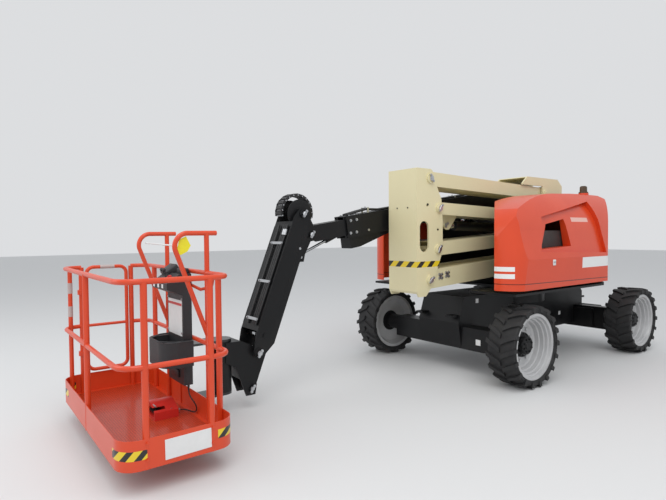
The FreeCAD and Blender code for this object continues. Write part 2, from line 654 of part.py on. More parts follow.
def make_knuckle(label, side, upper_arm):
    """Knuckle round its kingpin, with its spindle and steering arm."""
    knuckle = Piece(label)
    knuckle.pad("XY", [("round", "0", "0", "knuckle_radius")], "beam_top - beam_bottom - 2 * seat_gap",
                "(beam_top + beam_bottom) / 2")
    reach = "(%s - kingpin_y)" % HUB_FACE
    knuckle.pad("XZ", [("round", "0", "tyre_radius", "knuckle_radius - 1")], reach, side + reach + " / 2")
    arm = [("0", "-40"), ("steer_reach", "-32", "32"), ("steer_reach + 32", "0", "32"),
           ("steer_reach", "32"), ("0", "40")]
    knuckle.pad("XY", [arm], "arm_plate", "beam_bottom + 50")
    if upper_arm:
        knuckle.pad("XY", [arm], "arm_plate", "beam_top - 50")
    knuckle.cut("XY", [("round", "0", "0", "kingpin_radius + pin_gap")], "beam_top",
                "(beam_top + beam_bottom) / 2")
    return knuckle


keep(make_knuckle("knuckle_left", "", False), AXLE_X, number("kingpin_y"), 0)
keep(make_knuckle("knuckle_right", "-", True), AXLE_X, -number("kingpin_y"), 0)

STEER_PIN_X = AXLE_X + number("steer_reach")


def make_tie_rod():
    """Tie rod under both lower arms; its eyes hold the arms' pins."""
    rod = Piece("tie_rod")
    level = "(beam_bottom + 50 - arm_plate / 2 - seat_gap - tie_radius)"
    rod.pad("XZ", [("round", "0", level, "tie_radius")], "2 * kingpin_y - 40")
    for side in ("", "-"):
        rod.pad("XY", [("round", "0", side + "kingpin_y", "tie_radius + 8")], "2 * tie_radius - 6", level)
    return rod


keep(make_tie_rod(), STEER_PIN_X, 0, 0)

STEER_LEVEL = "(beam_top - 50 + arm_plate / 2 + seat_gap + steer_barrel - 6)"


def make_steer_cylinder():
    """Steering cylinder lying across the axle behind its beam."""
    cylinder = Piece("steer_cylinder")
    nose = "(kingpin_y - steer_stroke)"
    cylinder.pad("XZ", [("round", "0", STEER_LEVEL, "steer_barrel")], nose + " + steer_anchor - 30",
                 "(steer_anchor - 30 - %s) / 2" % nose)
    cylinder.pad("XY", [("round", "0", "steer_anchor", "30")], "2 * steer_barrel - 12", STEER_LEVEL)
    cylinder.cut("XZ", [("round", "0", STEER_LEVEL, "steer_rod + pin_gap")], nose, "-(%s) / 2 - 60" % nose)
    return cylinder


keep(make_steer_cylinder(), STEER_PIN_X, 0, 0)


def make_steer_rod():
    rod = Piece("steer_rod")
    rod.pad("XZ", [("round", "0", STEER_LEVEL, "steer_rod")], "steer_stroke + 60", "(steer_stroke + 60) / 2 + 10")
    rod.pad("XY", [("round", "0", "0", "30")], "2 * steer_barrel - 12", STEER_LEVEL)
    return rod


keep(make_steer_rod(), STEER_PIN_X, -number("kingpin_y"), 0)

# Turntable
TAIL_X = "sqrt(tail_radius^2 - deck_half^2)"
WEIGHT_Y = "sqrt(tail_radius^2 - weight_front^2)"
HOOD_TAIL_X = "sqrt(hood_tail^2 - hood_side^2)"


def make_turntable():
    deck = Piece("turntable_base")
    deck.pad("XY", [[("-deck_nose", "-deck_half"), (TAIL_X, "-deck_half", "tail_radius"),
                     ("tail_radius", "0", "tail_radius"), (TAIL_X, "deck_half"), ("-deck_nose", "deck_half"),
                     ("-deck_nose", "channel_half"), ("-deck_nose / 2", "channel_half"),
                     ("-deck_nose / 2", "-channel_half"), ("-deck_nose", "-channel_half")]],
             "deck_top - deck_bottom", "(deck_top + deck_bottom) / 2")
    deck.pad("XY", [("round", "0", "0", "ring_radius - 70")], "deck_bottom - ring_top - seat_gap",
             "(deck_bottom + ring_top + seat_gap) / 2")
    walls = [[("-deck_nose / 2 - 230", "deck_top"), ("weight_front - side_gap", "deck_top"),
              ("weight_front - side_gap", "wall_top - 40"), ("weight_front - 120", "wall_top"),
              ("-deck_nose / 2 - 100", "wall_top"), ("-deck_nose / 2 - 230", "wall_top - 200")]]
    for side in ("", "-"):
        deck.pad("XZ", walls, "wall_thick", side + "(channel_half + wall_thick / 2)")
        deck.pad("XZ", [outline(("0", "hinge_z"), [("-700", "-160"), ("600", "-160"), ("600", "-20"), ("-700", "-20")])],
                 "wall_thick", side + "(channel_half + wall_thick / 2)")
    support = outline(LOW_PIN, [("-170", "deck_top - low_pin_z"), ("310", "deck_top - low_pin_z"),
                                ("310", "180"), ("link_dx + 75", "link_dz + 75"), ("link_dx - 55", "link_dz + 75"),
                                ("-120", "100")])
    for side in ("", "-"):
        deck.pad("XZ", [support], "cheek", "%s(tower_width / 2 - cheek / 2) - tower_y" % side)
    for centre in (LOW_PIN, SECOND_PIN):
        pin(deck, centre, "tower_pin", "tower_width + 24", "-tower_y")
        for side in ("", "-"):
            pin(deck, centre, "pin_boss", "cheek + 12", "%s(tower_width / 2 - cheek / 2 + 2) - tower_y" % side)
    add_hinge_brackets(deck)
    return deck


def make_counterweight():
    weight = Piece("counterweight")
    weight.pad("XY", [[("weight_front", "-" + WEIGHT_Y, "tail_radius"), ("tail_radius", "0", "tail_radius"),
                       ("weight_front", WEIGHT_Y)]], "weight_top - deck_top", "(weight_top + deck_top) / 2")
    return weight


def block(label, x_low, x_high, y_low, y_high, top):
    piece = Piece(label)
    piece.pad("XY", [box(x_low, y_low, x_high, y_high)], "%s - deck_top" % top, "(%s + deck_top) / 2" % top)
    return piece


keep(make_counterweight())
keep(block("engine", "-(deck_nose / 2 + 180)", "40", "-(hood_side - collar_depth - 15)",
           "-(channel_half + 40)", "weight_top + 40"))
keep(block("tank", "-(deck_nose / 2 + 180)", "-200", "channel_half + 40", "hood_side - 95", "weight_top - 60"))


def make_ground_controls():
    """Control box that looks out of the left hood."""
    box_piece = block("ground_controls", "-110", "260", "channel_half + 60", "hood_side - 30", "(weight_top - 60)")
    box_piece.cut("XZ", [box("-90", "deck_top + 150", "240", "weight_top - 90")], "30", "hood_side - 30")
    return box_piece


keep(make_ground_controls())


def hood_block(label, side, inset):
    """Outer or inner form of a hood: its plan, cut to its side view and to its cross-section."""
    form = Piece(label)
    less = " - %s" % inset
    nose = "(hood_nose%s)" % less
    flank = "(hood_side%s)" % less
    tail = "(hood_tail%s)" % less
    crown = "(hood_top%s)" % less
    open_side = "(hood_inner%s)" % (" - 60" if inset != "0" else "")
    foot = "(hood_bottom%s)" % (" - 60" if inset != "0" else "")
    plan = [("-(%s - 490)" % nose, open_side), ("-%s" % nose, "(%s - 255)" % flank, "-240"),
            ("-(%s - 240)" % nose, flank), ("sqrt(%s^2 - %s^2)" % (tail, flank), flank, "-%s" % tail),
            ("sqrt(%s^2 - %s^2)" % (tail, open_side), open_side)]
    if side < 0:
        plan = [(x, "-" + y) for x, y in [corner[:2] for corner in plan]]
        plan[1] += ("240",)
        plan[3] += (tail,)
    form.pad("XY", [plan], "hood_top - %s + 40" % foot, "(hood_top + %s) / 2 + 20" % foot)
    frame = [("-2000", "0"), ("2000", "0"), ("2000", "3000"), ("-2000", "3000")]
    profile = [("-%s" % nose, foot), (tail, foot), ("(%s - 20)" % tail, "%s - 550" % crown),
               ("(%s - 190)" % tail, "%s - 190" % crown, "1300"), ("560", crown), ("-500", "%s - 45" % crown, "2600"),
               ("-(%s - 160)" % nose, "%s - 240" % crown, "420"), ("-%s" % nose, "%s - 520" % crown)]
    form.cut("XZ", [frame, profile], "2 * hood_side + 400")
    section = [(open_side, foot), ("(%s - 12)" % flank, foot), (flank, "hood_belt"),
               ("(%s - 35)" % flank, "hood_belt + 300", "640"), ("(%s - 235)" % flank, "%s - 25" % crown, "700"),
               ("(%s - 400)" % flank, crown), (open_side, crown)]
    window = [("0", "0"), ("1500", "0"), ("1500", "3000"), ("0", "3000")]
    if side < 0:
        section = [("-" + corner[0],) + tuple(corner[1:2]) + tuple("-" + r for r in corner[2:]) for corner in section]
        window = [("-" + x, y) for x, y in window]
    form.cut("YZ", [window, section], "5000")
    return form


HOOD_HINGES = (
    # bracket's middle along X, hood ear's middle along X, how far the ear's top lies below the hood's
    ("-450", "-430", "47"),
    ("330", "350", "9"),
)
HINGE_Y = "(channel_half + wall_thick + 30)"


def add_hinge_brackets(deck):
    """Brackets on the turntable's walls, each with a pin for a hood ear."""
    for side in ("", "-"):
        for bracket_x, ear_x, drop in HOOD_HINGES:
            deck.pad("YZ", [box(side + "(channel_half + 1)", "hinge_z - 30", side + "(%s + 22)" % HINGE_Y,
                                "hinge_z + 20")], "10", bracket_x)
            deck.pad("YZ", [("round", side + HINGE_Y, "hinge_z", "hinge_pin")], "40", bracket_x + " + 15")


# Corners along X and Z of the panel that is set into each flank, and of the right hood's window
RECESS = (("-1030", "1375"), ("392", "1335"), ("205", "1950"), ("-962", "1745"))
WINDOW = (("-972", "1400"), ("-348", "1424"), ("-435", "1730"), ("-830", "1669"))


def grown(corners, margin):
    """Four corners, from the lower front one round, moved outwards."""
    signs = (("-", "-"), ("+", "-"), ("+", "+"), ("-", "+"))
    return [("%s %s %s" % (x, sign_x, margin), "%s %s %s" % (z, sign_z, margin))
            for (x, z), (sign_x, sign_z) in zip(corners, signs)]


def flank_prism(label, loops, sign, reach):
    """Outline drawn on the hood's side and carried inwards and outwards by the reach."""
    prism = Piece(label)
    prism.pad("XZ", loops, "2 * %s" % reach, sign + "hood_side")
    return prism.body


def make_hood(label, side):
    """Hood shell, open below and towards the machine's middle, with its set-in flank, ears and openings."""
    sign = "-" if side < 0 else ""
    outer = hood_block(label + "_outer", side, "0").body
    inner = hood_block(label + "_inner", side, "hood_wall").body
    shell = combine("Cut", label + "_shell", outer, inner)
    thick = hood_block(label + "_thick", side, "(recess_depth + hood_wall)").body
    surround = combine("Common", label + "_surround", combine("Cut", label + "_band", outer, thick),
                       flank_prism(label + "_panel", [grown(RECESS, "hood_wall")], sign, "300"))
    deep = hood_block(label + "_deep", side, "recess_depth").body
    recess = combine("Common", label + "_recess", combine("Cut", label + "_skin", outer, deep),
                     flank_prism(label + "_set_in", [RECESS], sign, "300"))
    ears = Piece(label + "_ears")
    for bracket_x, ear_x, drop in HOOD_HINGES:
        ears.pad("YZ", [box("%s(%s - 22)" % (sign, HINGE_Y), "hinge_z - 22", "%s(%s + 22)" % (sign, HINGE_Y),
                            "hood_top - " + drop)], "12", ear_x)
        ears.cut("YZ", [("round", sign + HINGE_Y, "hinge_z", "hinge_pin + pin_gap")], "20", ear_x)
    solids = [shell, surround, ears.body]
    if side < 0:
        ears.pad("XY", [("round", "beacon_x", "-beacon_y", "60")], "40", "hood_top - 19")
        collar = flank_prism(label + "_collar", [grown(WINDOW, "hood_wall"), WINDOW], sign, "collar_depth")
        solids.append(combine("Common", label + "_collar_inside", collar, outer))
        opening = WINDOW
    else:
        opening = box("-140", "hood_bottom + 40", "290", "weight_top - 20")
    holes = fuse(label + "_holes", [recess, flank_prism(label + "_opening", [opening], sign, "300")])
    return combine("Cut", label, fuse(label + "_whole", solids), holes)


keep(make_turntable())
keep(make_hood("hood_right", -1))
keep(make_hood("hood_left", 1))


def make_beacon():
    beacon = Piece("beacon")
    beacon.turn("XZ", [[("0", "0"), ("55", "0"), ("55", "16"), ("44", "18"), ("42", "78"), ("30", "90"), ("0", "90")]])
    return beacon


keep(make_beacon(), number("beacon_x"), -number("beacon_y"), number("hood_top + 1 + seat_gap"))


def hollow_arm(label, far, depth, ends):
    """Tower arm: a box with rounded, open ends and a bore at each pin. far is the far pin's
    X from the near pin, either way; ends are extra solids put on before the bores."""
    arm = Piece(label)
    low, high = ("0", far) if number(far) > 0 else (far, "0")
    arm.pad("XZ", [rounded_bar(low, high, depth + " / 2")], "arm_width")
    arm.cut("YZ", [box("-(arm_width / 2 - arm_wall)", "-(%s / 2 - arm_skin)" % depth,
                       "arm_width / 2 - arm_wall", "%s / 2 - arm_skin" % depth)], "4 * arm_length")
    for centre in ("0", far):
        arm.cut("XZ", [box("%s - (%s / 2 + 15)" % (centre, depth), "-" + depth, "%s + (%s / 2 + 15)" % (centre, depth),
                           depth)], "arm_width - 2 * arm_wall")
    ends(arm)
    for centre in ("0", far):
        bore(arm, (centre, "0"), "tower_pin + pin_gap", "2 * arm_width")
    return arm


def plain_ends(arm):
    """An arm with nothing on it."""


def seat_lugs(arm):
    """Two lugs on the second arm that hold the tower cylinder's foot."""
    x = "(seat_x - arm_length)"
    lug = [(x + " - 90", "link_depth / 2 - 2"), (x + " + 90", "link_depth / 2 - 2"), (x + " + 38", "seat_rise + 20", "42"),
           (x + " - 38", "seat_rise + 20")]
    for side in ("", "-"):
        arm.pad("XZ", [lug], "16", side + "eye_half")
    pin(arm, (x, "seat_rise"), "eye_pin", "2 * eye_half + 40")


def drop_lugs(arm):
    """Two lugs under the third arm that hold the tower rod's eye."""
    foot = "-(third_depth / 2 - 2)"
    lug = [("lug_x - 50", "-lug_drop - 25", "60"), ("lug_x + 50", "-lug_drop - 25"), ("lug_x + 160", foot),
           ("lug_x - 200", foot)]
    for side in ("", "-"):
        arm.pad("XZ", [lug], "16", side + "eye_half")
        stub_pin(arm, ("lug_x", "-lug_drop"), "(eye_half + 20)", side)


keep(hollow_arm("lower_arm", "-arm_length", "low_depth", plain_ends), *spot(LOW_PIN, TOWER_Y),
     pitch(number("low_tilt")))
keep(hollow_arm("lower_link", "-arm_length", "link_depth", seat_lugs), *spot(SECOND_PIN, TOWER_Y),
     pitch(number("low_tilt")))
keep(hollow_arm("upper_arm", "arm_length", "high_depth", plain_ends), *spot(TOP_FRONT, TOWER_Y),
     pitch(-number("high_tilt")))
keep(hollow_arm("upper_link", "arm_length", "third_depth", drop_lugs), *spot(THIRD_FRONT, TOWER_Y),
     pitch(-number("high_tilt")))


def make_front_upright():
    """Front upright, measured from the lowest arm's pin: a channel open to the rear."""
    upright = Piece("front_upright")
    front = "-upright_front"
    upright.pad("XZ", [[(front, "-115"), ("-165", "-upright_foot"), ("-60", "-upright_foot"), ("46", "-60"),
                        ("link_dx + 26", "link_dz - 124"), ("upright_rear", "link_dz - 22"), ("upright_rear", "640"),
                        ("high_dx + third_dx + 35", "850"), ("high_dx + 69", "1050"), ("high_dx + 40", "1140"),
                        ("high_dx + 14", "upright_head"), (front, "upright_head")]], "tower_width")
    upright.cut("XZ", [box(front + " + 12", "-2 * upright_foot", "2 * upright_rear", "2 * upright_head")],
                "tower_width - 2 * cheek")
    round_end = "slot_width / 2"
    edges = ("-slot_x - " + round_end, round_end + " - slot_x")
    ends = ("slot_low + " + round_end, "slot_high - " + round_end)
    upright.cut("XZ", [[(edges[0], ends[0], round_end), ("-slot_x", "slot_low", round_end), (edges[1], ends[0]),
                        (edges[1], ends[1], round_end), ("-slot_x", "slot_high", round_end), (edges[0], ends[1])]],
                "2 * tower_width")
    for hole_x, hole_z in (("-38", "782"), ("124", "528")):
        bore(upright, (hole_x, hole_z), "14", "2 * tower_width")
    pins = (CENTRE, ("link_dx", "link_dz"), ("high_dx", "high_dz"), ("high_dx + third_dx", "high_dz - third_dz"))
    for centre in pins:
        pin(upright, centre, "tower_pin", "tower_width + 50")
        for side in ("", "-"):
            pin(upright, centre, "pin_boss", "cheek + 20", "%s(tower_width / 2 - cheek / 2 + 6)" % side)
    return upright


keep(make_front_upright(), *spot(LOW_FRONT, TOWER_Y))


def make_rear_upright():
    """Rear upright: it hangs on the upper arms and carries the main boom and its lift cylinder."""
    upright = Piece("rear_upright")
    back = "(boom_x + 170)"
    tower_side = [(THIRD_REAR[0] + " - 70", THIRD_REAR[1] + " - 79"), (back, THIRD_REAR[1] + " - 79"),
                  (back, "boom_z + 80"), ("boom_x + 60", "boom_z + 165"), ("-150", "boom_z + 165"),
                  ("-250", "boom_z + 80"), ("-250", "boom_z + 60"), (TOP_REAR[0] + " - 60", "boom_z + 60"),
                  (TOP_REAR[0] + " - 62", TOP_REAR[1] + " - 90")]
    upright.pad("XZ", [tower_side], "tower_width", "-tower_y")
    upright.cut("XZ", [box("-1000", "0", back + " - 20", "boom_z + 155")], "tower_width - 2 * cheek", "-tower_y")
    boom_side = outline(BOOM_PIN, [("lift_x - boom_x - 95", "lift_z - boom_z - 55"),
                                   ("lift_x - boom_x + 60", "lift_z - boom_z - 55"), ("170", "-620"), ("170", "80"),
                                   ("100", "130"), ("-80", "130"), ("-170", "0"), ("-170", "-420"),
                                   ("lift_x - boom_x - 120", "lift_z - boom_z + 110")])
    wide = "(boom_width + 2 * (3 * side_gap + fork_plate))"
    upright.pad("XZ", [boom_side], wide, "boom_y")
    upright.cut("XZ", [box("-1000", "0", back + " - 20", "4000")], wide + " - 2 * fork_plate", "boom_y")
    bridge_low = "(-tower_y + tower_width / 2 - cheek)"
    bridge_high = "(boom_y - %s / 2 + fork_plate)" % wide
    upright.pad("YZ", [box(bridge_low, "boom_z - 420", bridge_high, "boom_z + 80")], "20", back + " - 10")
    for centre in (TOP_REAR, THIRD_REAR):
        pin(upright, centre, "tower_pin", "tower_width + 50", "-tower_y")
        for side in ("", "-"):
            pin(upright, centre, "pin_boss", "cheek + 20", "%s(tower_width / 2 - cheek / 2 + 6) - tower_y" % side)
    pin(upright, BOOM_PIN, "boom_pin", wide + " + 30", "boom_y")
    pin(upright, LIFT_SEAT, "25", wide + " + 30", "boom_y")
    return upright


keep(make_rear_upright())


def make_boom_outer():
    """Outer section, measured from the boom's pivot, reaching to -X."""
    boom = Piece("boom_outer")
    half = "boom_depth / 2"
    boom.pad("XZ", [box("-boom_length", "-" + half, "boom_tail", half)], "boom_width")
    boom.pad("XZ", [[("30 - boom_length", "-%s - keel_depth" % half), ("160 - boom_length", "-%s - keel_depth" % half),
                     ("keel_length + 30 - boom_length", "2 - " + half), ("30 - boom_length", "2 - " + half)]],
             "boom_width - 40")
    lug = [("-lift_reach - 110", "2 - " + half), ("-lift_reach - 40", "-lift_drop - 25", "45"),
           ("40 - lift_reach", "-lift_drop - 25"), ("110 - lift_reach", "2 - " + half)]
    for side in ("", "-"):
        boom.pad("XZ", [lug], "16", side + "eye_half")
        stub_pin(boom, ("-lift_reach", "-lift_drop"), "(eye_half + 20)", side)
    boom.cut("YZ", [box("-(boom_width / 2 - boom_wall)", "-(%s - boom_wall)" % half, "boom_width / 2 - boom_wall",
                        half + " - boom_wall")], "3 * boom_length")
    inner_y = "(boom_width / 2 - boom_wall)"
    fly_y = "(fly_width / 2 + pin_gap)"
    inner_z = "(%s - boom_wall)" % half
    fly_z = "(fly_depth / 2 + pin_gap)"
    pads = []
    for y_sign in ("", "-"):
        for z_sign in ("", "-"):
            side_pad = box(fly_y, inner_z + " - 60", inner_y + " + 1", inner_z + " - 10")
            flat_pad = box("45", fly_z, "70", inner_z + " + 1")
            for pad in (side_pad, flat_pad):
                pads.append([(y_sign + "(%s)" % y, z_sign + "(%s)" % z) for y, z in pad])
    boom.pad("YZ", pads, "pad_length", "-(boom_length - pad_length / 2)")
    bore(boom, CENTRE, "boom_pin + pin_gap", "2 * boom_width")
    return boom


keep(make_boom_outer(), *spot(BOOM_PIN, BOOM_Y), pitch(number("boom_tilt")))


def make_boom_fly():
    """Fly section, measured from the boom's pivot, with ears for the knuckle pin."""
    fly = Piece("boom_fly")
    half = "fly_depth / 2"
    fly.pad("XZ", [[("60 - fly_reach", "-" + half), ("-fly_start", "-" + half), ("-fly_start", half),
                    ("60 - fly_reach", half), ("-fly_reach", "48", "48"), ("-fly_reach - 48", "0", "48"),
                    ("-fly_reach", "-48")]], "fly_width")
    fly.cut("YZ", [box("-(fly_width / 2 - fly_wall)", "-(%s - fly_wall)" % half, "fly_width / 2 - fly_wall",
                       half + " - fly_wall")], "4 * fly_reach")
    fly.cut("XZ", [box("-fly_reach - 200", "-200", "75 - fly_reach", "200")], "fly_width - 2 * fly_wall - 16")
    fly.cut("XY", [box("-fly_reach - 100", "-40", "560 - fly_reach", "40")], "60", "-" + half)
    pin(fly, ("slave_back - fly_reach", "slave_rise"), "14", "fly_width - 2")
    bore(fly, ("-fly_reach", "0"), "jib_pin + 3 + pin_gap", "2 * fly_width")
    return fly


keep(make_boom_fly(), *spot(BOOM_PIN, BOOM_Y), pitch(number("boom_tilt")))


def make_knuckle_link():
    """Jib knuckle, measured from its pin in the boom's end."""
    knuckle = Piece("jib_knuckle")
    top = ("-head_dx", "head_dz")
    low = ("-head_dx - level_dx", "head_dz - level_dz")
    eye = ("-slave_dx", "-slave_dz")
    knuckle.pad("XZ", [[("56", "-20"), ("56", "40"), ("-50", "head_dz + 30"), ("-head_dx", "head_dz + 50", "52"),
                        ("-head_dx - 52", "head_dz - 10"), ("-head_dx - level_dx - 52", "head_dz - level_dz + 10"),
                        ("-head_dx - level_dx - 45", "head_dz - level_dz - 40"), ("-slave_dx - 35", "-slave_dz - 40"),
                        ("-slave_dx + 35", "-slave_dz - 40"), ("-slave_dx + 50", "-slave_dz + 30"),
                        ("0", "-56")]], "knuckle_width")
    knuckle.cut("XZ", [box("-600", "-600", "600", "600")], "knuckle_width - 2 * knuckle_plate")
    pin(knuckle, CENTRE, "jib_pin + 3", "knuckle_width + 24")
    pin(knuckle, top, "jib_pin", "jib_width + 30")
    pin(knuckle, low, "jib_pin", "knuckle_width + 20")
    for side in ("", "-"):
        stub_pin(knuckle, eye, "(knuckle_width / 2 + 8)", side)
    return knuckle


keep(make_knuckle_link(), *spot(KNUCKLE_PIN, BOOM_Y))


def make_jib_boom():
    """Jib boom, measured from its upper pin, reaching to -X: a channel open to its rear side."""
    jib = Piece("jib_boom")
    jib.pad("XZ", [[("40", "-50"), ("55", "0"), ("40", "50"), ("-60", "jib_front"), ("-(jib_length - 160)", "jib_front"),
                    ("-(jib_length + 20)", "50"), ("-(jib_length + 50)", "0"), ("-(jib_length + 30)", "-50"),
                    ("-(jib_length - 120)", "-jib_rear"), ("-220", "-jib_rear")]], "jib_width")
    jib.cut("XZ", [[("200", "-400"), ("200", "400"), ("-110", "400"), ("-110", "jib_front - jib_plate"),
                    ("-(jib_length - 180)", "jib_front - jib_plate"), ("-(jib_length - 180)", "400"),
                    ("-2 * jib_length", "400"), ("-2 * jib_length", "-400")]], "jib_width - 2 * jib_plate")
    for side in ("", "-"):
        stub_pin(jib, ("-jib_eye", "-jib_eye_drop"), "(jib_width / 2 + 8)", side)
    for centre in (CENTRE, ("-jib_length", "0")):
        for side in ("", "-"):
            pin(jib, centre, "44", "12", "%s(jib_width / 2 + 2)" % side)
        bore(jib, centre, "jib_pin + pin_gap", "2 * jib_width")
    return jib


keep(make_jib_boom(), *spot(JIB_TOP, BOOM_Y), pitch(number("jib_tilt")))


def make_jib_link():
    """Levelling link: two bars and a cross tube, measured from its upper pin."""
    link = Piece("jib_link")
    for side in ("", "-"):
        link.pad("XZ", [rounded_bar("-jib_length", "0", "link_bar / 2")], "link_bar_thick", side + "link_half")
    link.pad("XZ", [box("120 - jib_length", "-link_bar / 2", "330 - jib_length", "link_bar / 2")], "2 * link_half")
    for centre in (CENTRE, ("-jib_length", "0")):
        bore(link, centre, "jib_pin + pin_gap", "4 * link_half")
    return link


keep(make_jib_link(), *spot(LINK_TOP, BOOM_Y), pitch(number("jib_tilt")))


# Cylinders, each measured along itself from its foot's pin with its rod's eye towards +X
def span(start, finish):
    """Pin to pin length as stored."""
    return "sqrt((%s - %s)^2 + (%s - %s)^2)" % (finish[0], start[0], finish[1], start[1])


def make_barrel(label, neck, length, radius, rod, foot_radius):
    """Barrel with a flat neck from its foot's eye to where the round tube starts."""
    barrel = Piece(label)
    eye = "(%s - 6)" % radius
    barrel.pad("YZ", [("round", "0", "0", radius)], "(%s) - %s" % (length, neck), "((%s) + %s) / 2" % (length, neck))
    barrel.pad("XZ", [[("0", "-" + eye), (neck + " + 5", "-" + eye), (neck + " + 5", eye), ("0", eye, eye),
                       ("-" + eye, "0", eye)]], "2 * foot_half")
    barrel.cut("YZ", [("round", "0", "0", rod + " + pin_gap")], "(%s) - 2 * %s" % (length, radius),
               "(%s) / 2 + %s" % (length, radius))
    bore(barrel, CENTRE, foot_radius + " + pin_gap", "4 * foot_half")
    return barrel


def make_rod(label, start, length, rod, eye):
    piece = Piece(label)
    shoulder = "((%s) - eye_pin - side_gap)" % length
    piece.pad("YZ", [("round", "0", "0", rod)], "%s - (%s)" % (shoulder, start), "(%s + (%s)) / 2" % (shoulder, start))
    pin(piece, (length, "0"), eye, "2 * foot_half")
    return piece


CYLINDERS = (
    # barrel, rod, foot, eye, neck, barrel's end, rod's inner end, radius, rod radius, foot pin, eye radius, Y
    ("tower_cylinder", "tower_rod", TOWER_SEAT, TOWER_EYE, "95", "%s - 170", "%s - tower_stroke - 120",
     "tower_barrel", "tower_rod", "eye_pin", "42", TOWER_Y),
    ("lift_cylinder", "lift_rod", LIFT_SEAT, LIFT_EYE, "60", "%s - 75", "%s - lift_stroke - 120",
     "lift_barrel", "lift_rod", "25", "42", BOOM_Y),
    ("jib_cylinder", "jib_rod", LINK_TOP, JIB_EYE, "45", "%s - 70", "%s - jib_stroke - 60",
     "jib_barrel", "jib_rod", "jib_pin", "32", BOOM_Y),
    ("level_cylinder", "level_rod", SLAVE_SEAT, SLAVE_EYE, "30", "%s - slave_stroke - 50",
     "%s - slave_stroke - 90", "slave_barrel", "slave_rod", "14", "28", BOOM_Y),
)
for barrel_label, rod_label, foot, eye, neck, reach, start, radius, rod_radius, foot_pin, eye_radius, mid_y in CYLINDERS:
    whole = span(foot, eye)
    toward = Vector(number(eye[0]) - number(foot[0]), 0, number(eye[1]) - number(foot[1]))
    facing = pitch(math.degrees(math.atan2(toward.z, toward.x)))
    keep(make_barrel(barrel_label, neck, reach % whole, radius, rod_radius, foot_pin), *spot(foot, mid_y), facing)
    keep(make_rod(rod_label, start % whole, whole, rod_radius, eye_radius), *spot(foot, mid_y), facing)


# Platform and what carries it
def make_support():
    """Platform support, measured from the jib's lower pin, with the rotary actuator's housing."""
    support = Piece("platform_support")
    to_axis = "(-rotor_x - %s)" % JIB_FOOT[0]
    support.pad("XZ", [[("5", "-100"), ("45", "-20"), ("45", "30"), ("-10", "50"), ("-150", "120"), (to_axis, "120"),
                        (to_axis, "-60"), ("-level_dx - 160", "-110"), ("-level_dx - 60", "-level_dz - 50"),
                        ("-level_dx + 30", "-level_dz - 50"), ("-level_dx + 45", "-level_dz + 30")]],
                "knuckle_width")
    support.cut("XZ", [box("-160", "-600", "400", "100"), ], "knuckle_width - 2 * knuckle_plate")
    axis_low = "(rotor_bottom - %s)" % JIB_FOOT[1]
    axis_top = "(rotor_top - %s)" % JIB_FOOT[1]
    support.pad("XY", [("round", to_axis, "0", "rotor_radius")], "%s - %s" % (axis_top, axis_low),
                "(%s + %s) / 2" % (axis_top, axis_low))
    pin(support, CENTRE, "jib_pin", "jib_width + 30")
    pin(support, ("-level_dx", "-level_dz"), "jib_pin", "knuckle_width + 20")
    return support


keep(make_support(), *spot(JIB_FOOT, BOOM_Y))

INNER_X = "(deck_depth - deck_front)"
RAIL_INNER = "(%s - rail_radius)" % INNER_X
RAIL_OUTER = "(rail_radius - deck_front)"
RAIL_Y = "(deck_width / 2 - rail_radius)"
GATE_REAR = "(%s - gate_rear)" % INNER_X
GATE_FRONT = "(gate_front - deck_front)"


def rail_path():
    """Rail from the gate's latch post round the platform to its hinge post."""
    corner = "deck_corner"
    return [(GATE_REAR, RAIL_Y), (RAIL_INNER + " - " + corner, RAIL_Y, "-" + corner), (RAIL_INNER, RAIL_Y + " - " + corner),
            (RAIL_INNER, corner + " - " + RAIL_Y, "-" + corner), (RAIL_INNER + " - " + corner, "-" + RAIL_Y),
            (RAIL_OUTER + " + " + corner, "-" + RAIL_Y, "-" + corner), (RAIL_OUTER, corner + " - " + RAIL_Y),
            (RAIL_OUTER, RAIL_Y + " - " + corner, "-" + corner), (RAIL_OUTER + " + " + corner, RAIL_Y),
            (GATE_FRONT, RAIL_Y)]


